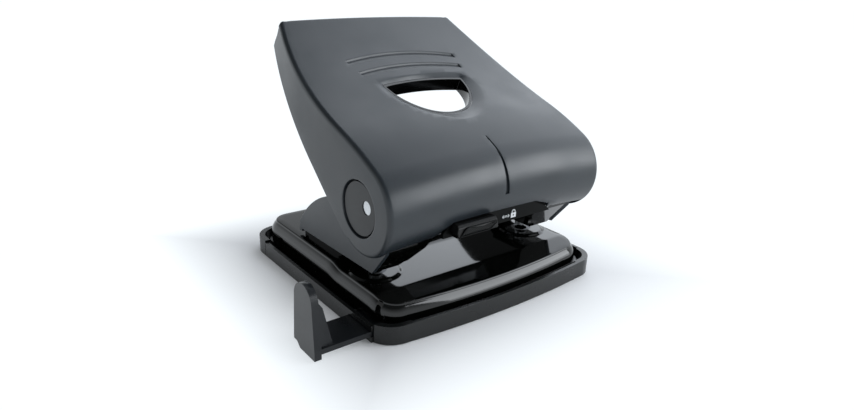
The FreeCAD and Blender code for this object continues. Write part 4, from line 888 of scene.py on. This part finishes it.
def plate_points(border):
    """Mesh points of the plate's top: a grid, closer over step and fall, and circles round the holes."""
    rings = np.vstack([circle_points(hole, radius, 0, 355, 72) for hole in HOLES
                       for radius in (4.8, 6.5, 8.3, 8.9, 9.2, 9.5, 9.8, 10.1, 10.4, 10.7, 10.9, 11.3)])
    steps = np.r_[np.arange(-49, -42, 2.0), np.linspace(-41.5, -36.5, 11), np.arange(-34, -16, 3.0),
                  np.linspace(-15.8, -7.2, 20), np.arange(-5, 48, 5)]
    xs, ys = np.meshgrid(np.arange(-47.5, 48, 2.5), steps)
    grid = np.c_[xs.ravel(), ys.ravel()]
    grid = grid[inside(grid, border) & (line_distance(grid, border, True) > 0.7)]
    for centres, clear in ((HOLES, 11.6), (RIVETS, 2.2)):
        for centre in centres:
            grid = grid[np.hypot(*(grid - centre).T) > clear]
    return np.vstack([grid, rings])


def make_base_plate():
    """The pressed plate with its rings, step, falling front and rounded shoulder."""
    shell = Shell()
    add_plate_rim(shell)
    border = plate_loop(PLATE["crease"])
    holes = [circle_points(hole, RING["bore"], 0, 352.5, 48) for hole in HOLES]
    holes += [circle_points(rivet, RIVET_BORE, 0, 345, 24) for rivet in RIVETS]
    flat, faces = fill(border, holes, plate_points(border))
    height = plate_height(flat)
    shell.add(np.c_[flat, height], np.c_[flat, height - PLATE["sheet"]], faces)
    piece = shell.build("plate_pressing", sharp=50)
    dress(piece, ENAMEL)
    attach(piece, "base")
    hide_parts("base_plate")


# ---------------------------------------------------------------- other pieces

def make_soft_copies():
    """Copies of plain nodes with their edges slightly rounded."""
    jobs = (
        ("tray_frame", "tray_moulding", "base", 0.35, BLACK),
        ("chip_pan", "pan_moulding", "pan", 0.3, BLACK),
        ("bracket_cover_left", "cover_left", "base", 0.35, GREY),
        ("bracket_cover_right", "cover_right", "base", 0.35, GREY),
        ("hand_collar", "collar_moulding", "lever", 0.2, DEEP),
        ("lock_slider", "slider_moulding", "lock", 0.6, THUMB),
        ("paper_guide", "guide_moulding", "guide", 0.35, GUIDE),
        ("pivot_cap_left", "cap_left", "lever", 0.2, CAP),
        ("pivot_cap_right", "cap_right", "lever", 0.2, CAP),
    )
    for node, name, body, width, material in jobs:
        piece = softened(node, name, width)
        if name == "cover_right":
            bevel_inner_front(piece)
        dress(piece, material)
        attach(piece, body)


def make_springs():
    """Return springs: copies of the CAD coils, each fixed to the body of its punch."""
    for side in ("left", "right"):
        node = f"return_spring_{side}"
        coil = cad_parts[node].copy()
        coil.data = coil.data.copy()
        coil.name = f"spring_{side}"
        bpy.context.scene.collection.objects.link(coil)
        dress(coil, SPRING)
        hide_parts(node)
        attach(coil, f"punch_{side}")
        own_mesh(coil)


def bevel_inner_front(cover):
    """Slant the front edge of the right cover back towards the bracket."""
    normal = Vector((0, -math.cos(FRONT_LEAN), -math.sin(FRONT_LEAN)))
    foremost = max(vert.co.dot(normal) for vert in cover.data.vertices)
    inner = min(vert.co.x for vert in cover.data.vertices if vert.co.dot(normal) > foremost - 0.1 * MM)
    for vert in cover.data.vertices:
        if vert.co.dot(normal) > foremost - 0.6 * MM and vert.co.x < inner + 0.5 * MM:
            vert.co -= normal * FRONT_SLANT * MM


def standing(loop, y):
    """Points of a front view (X, Z) set up at one or more depths Y."""
    return np.c_[loop[:, 0], np.full(len(loop), y), loop[:, 1]]


def make_slider_grip():
    """Raised thin rim round a field of small teeth on the slider's face."""
    corners = np.array(GRIP["corners"])
    outline = np.vstack([corner_bezier(corners[i - 1], corners[i], corners[(i + 1) % 4], 1.2, 7)
                         for i in range(4)])
    centre, span = (outline.min(0) + outline.max(0)) / 2, np.ptp(outline, axis=0)
    inner = centre + (outline - centre) * (1 - 2 * GRIP["rim"] / span)
    lattice = np.array([(i, j) for i in range(-40, 41) for j in range(-6, 7)])
    points = centre + lattice * GRIP["pitch"]
    kept = inside(points, inner) & (line_distance(points, inner, True) > 0.12)
    flat, faces = fill(inner, [], points[kept])
    tall = np.zeros(len(flat))
    tall[-kept.sum():] = np.where(lattice[kept].sum(1) % 2 == 0, GRIP["tooth"], 0.0)
    front, behind = GRIP["front"], GRIP["front"] + GRIP["sheet"]
    shell = Shell()
    edge = (outline * 3 + inner) / 4, (outline + inner * 3) / 4
    rows = [(outline, 0.0), (edge[0], GRIP["ridge"]), (edge[1], GRIP["ridge"]), (inner, 0.0)]
    shell.strips([standing(loop, front - up) for loop, up in rows],
                 [standing(loop, behind) for loop, up in rows], True)
    shell.add(standing(flat, front - tall), standing(flat, behind), faces)
    piece = shell.build("slider_grip", sharp=20)
    dress(piece, THUMB)
    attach(piece, "lock")


def printed(name, outline, holes):
    """A thin white print on the lock face."""
    flat, faces = fill(np.array(outline), [np.array(hole) for hole in holes], np.empty((0, 2)))
    shell = Shell()
    shell.add(standing(flat, MARK_FACE - MARK_HALF), standing(flat, MARK_FACE + MARK_HALF), faces)
    piece = shell.build(name)
    dress(piece, WHITE)
    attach(piece, "lever")


def make_marks():
    """Double arrow and padlock beside the slider."""
    middle, arrow = np.array(ARROW_MIDDLE), np.array(ARROW)
    printed("mark_arrow", middle + arrow, [middle + arrow * (0.82, 0.45)])
    x, low, high, half = (PADLOCK[key] for key in ("middle", "low", "high", "half"))
    key_hole = circle_points((x, (low + high) / 2), PADLOCK["key"], 0, 330, 12)
    printed("mark_padlock", [(x - half, low), (x + half, low), (x + half, high), (x - half, high)],
            [key_hole])
    top = (x, high + PADLOCK["lift"])
    outer = circle_points(top, PADLOCK["shackle"], 0, 180, 14)
    inner = circle_points(top, PADLOCK["shackle"] - PADLOCK["wire"], 180, 0, 14)
    legs = [[(loop[end][0], high)] for loop in (outer, inner) for end in (0, -1)]
    printed("mark_shackle", np.vstack([legs[0], outer, legs[1], legs[2], inner, legs[3]]), [])


# ---------------------------------------------------------------- staging

CAMERA = dict(yaw=38.3464, pitch=20.5065, roll=2.1150, target=(10.248, 9.532, 20.436),
              distance=0.303832, lens=27.355)
SEEN_WHITE = (0.95, 1.0, 1.04, 1)
SEEN_STRENGTH = 1.06
CEILING_STRENGTH = 0.12
CEILING_START, CEILING_FULL = 0.2, 0.6
FLOOR_HALF = 3.0
FLOOR_HEIGHT = -0.0003
SHADOW_HALF = (0.058, 0.056)
SHADOW_REACH = 0.036
SOFT_BOXES = (
    # name, compass turn, height angle, distance, size, radiance and tint
    ("right_wall", 15, 42, 0.9, (1.45, 0.85), 1.6, (0.92, 0.98, 1.06)),
    ("front_box", -47, 20, 1.0, (0.62, 0.48), 5.2, (0.96, 1.0, 1.04)),
    ("left", 175, 35, 1.0, (0.5, 0.4), 0.4, (1, 1, 1)),
    ("low_front", -47, 3, 1.0, (0.62, 0.1), 2.6, (0.96, 1.0, 1.04)),
)


def set_camera():
    """A camera at the front left, looking down on the object, with a slight roll."""
    yaw, pitch, roll = (math.radians(CAMERA[key]) for key in ("yaw", "pitch", "roll"))
    back = Vector((-math.sin(yaw) * math.cos(pitch), -math.cos(yaw) * math.cos(pitch), math.sin(pitch)))
    right = (-back).cross(Vector((0, 0, 1))).normalized()
    up = right.cross(-back)
    across = right * math.cos(roll) + up * math.sin(roll)
    above = up * math.cos(roll) - right * math.sin(roll)
    target = Vector(CAMERA["target"]) * MM
    data = bpy.data.cameras.new("camera")
    data.sensor_width = 36
    data.lens = CAMERA["lens"]
    data.clip_start = 0.01
    camera = bpy.data.objects.new("camera", data)
    camera.matrix_world = (Matrix.Translation(target + back * CAMERA["distance"])
                           @ Matrix((across, above, back)).transposed().to_4x4())
    bpy.context.scene.collection.objects.link(camera)
    bpy.context.scene.camera = camera


def set_world():
    """White round the horizon for what is seen, darker overhead; an even pale light on the object."""
    world = bpy.data.worlds.new("studio")
    bpy.context.scene.world = world
    n = Nodes(world, "ShaderNodeOutputWorld", "Generated")
    height = n.add("ShaderNodeSeparateXYZ", Vector=n.place).outputs["Z"]
    strength = n.ramp(height, CEILING_START, CEILING_FULL, SEEN_STRENGTH, CEILING_STRENGTH)
    seen = n.add("ShaderNodeBackground", Color=SEEN_WHITE, Strength=strength)
    lit = n.add("ShaderNodeBackground", Color=(0.94, 0.97, 1.0, 1), Strength=0.3)
    n.finish(n.seen_or_lit(seen.outputs[0], lit.outputs[0]))


def make_floor():
    """Pale floor: near the object it shows the shadow, farther out it is seen as white."""
    bm = bmesh.new()
    bmesh.ops.create_grid(bm, x_segments=2, y_segments=2, size=FLOOR_HALF)
    for vert in bm.verts:
        vert.co.z = FLOOR_HEIGHT
    floor = from_bmesh("floor", bm)
    n = Nodes(bpy.data.materials.new("pale_floor"))
    tint = n.blend(n.noise(3.0), (0.93, 0.94, 0.95, 1), (0.97, 0.97, 0.98, 1))
    lit = n.add("ShaderNodeBsdfDiffuse", Color=tint).outputs[0]
    white = n.add("ShaderNodeEmission", Color=SEEN_WHITE, Strength=SEEN_STRENGTH).outputs[0]
    seen = n.fade(n.ramp(n.beyond(*SHADOW_HALF), 0.0, SHADOW_REACH, 0.08, 1.0), lit, white)
    dress(floor, n.finish(n.seen_or_lit(seen, lit)))


def soft_box(name, turn, rise, distance, size, radiance, tint):
    """A flat lamp that faces the object."""
    turn, rise = math.radians(turn), math.radians(rise)
    aim = Vector((0, 0, 0.05))
    away = Vector((math.cos(turn) * math.cos(rise), math.sin(turn) * math.cos(rise), math.sin(rise)))
    place = aim + distance * away
    data = bpy.data.lights.new(name, "AREA")
    data.shape = "RECTANGLE"
    data.size, data.size_y = size
    data.energy = radiance * math.pi * size[0] * size[1]
    data.color = tint
    light = bpy.data.objects.new(name, data)
    light.location = place
    light.rotation_euler = (aim - place).to_track_quat("-Z", "Y").to_euler()
    bpy.context.scene.collection.objects.link(light)


dress_frame()
make_lever_cover()
make_base_plate()
make_soft_copies()
make_springs()
make_slider_grip()
make_marks()
set_camera()
set_world()
for settings in SOFT_BOXES:
    soft_box(*settings)
make_floor()
bpy.context.scene.view_settings.view_transform = "Standard"
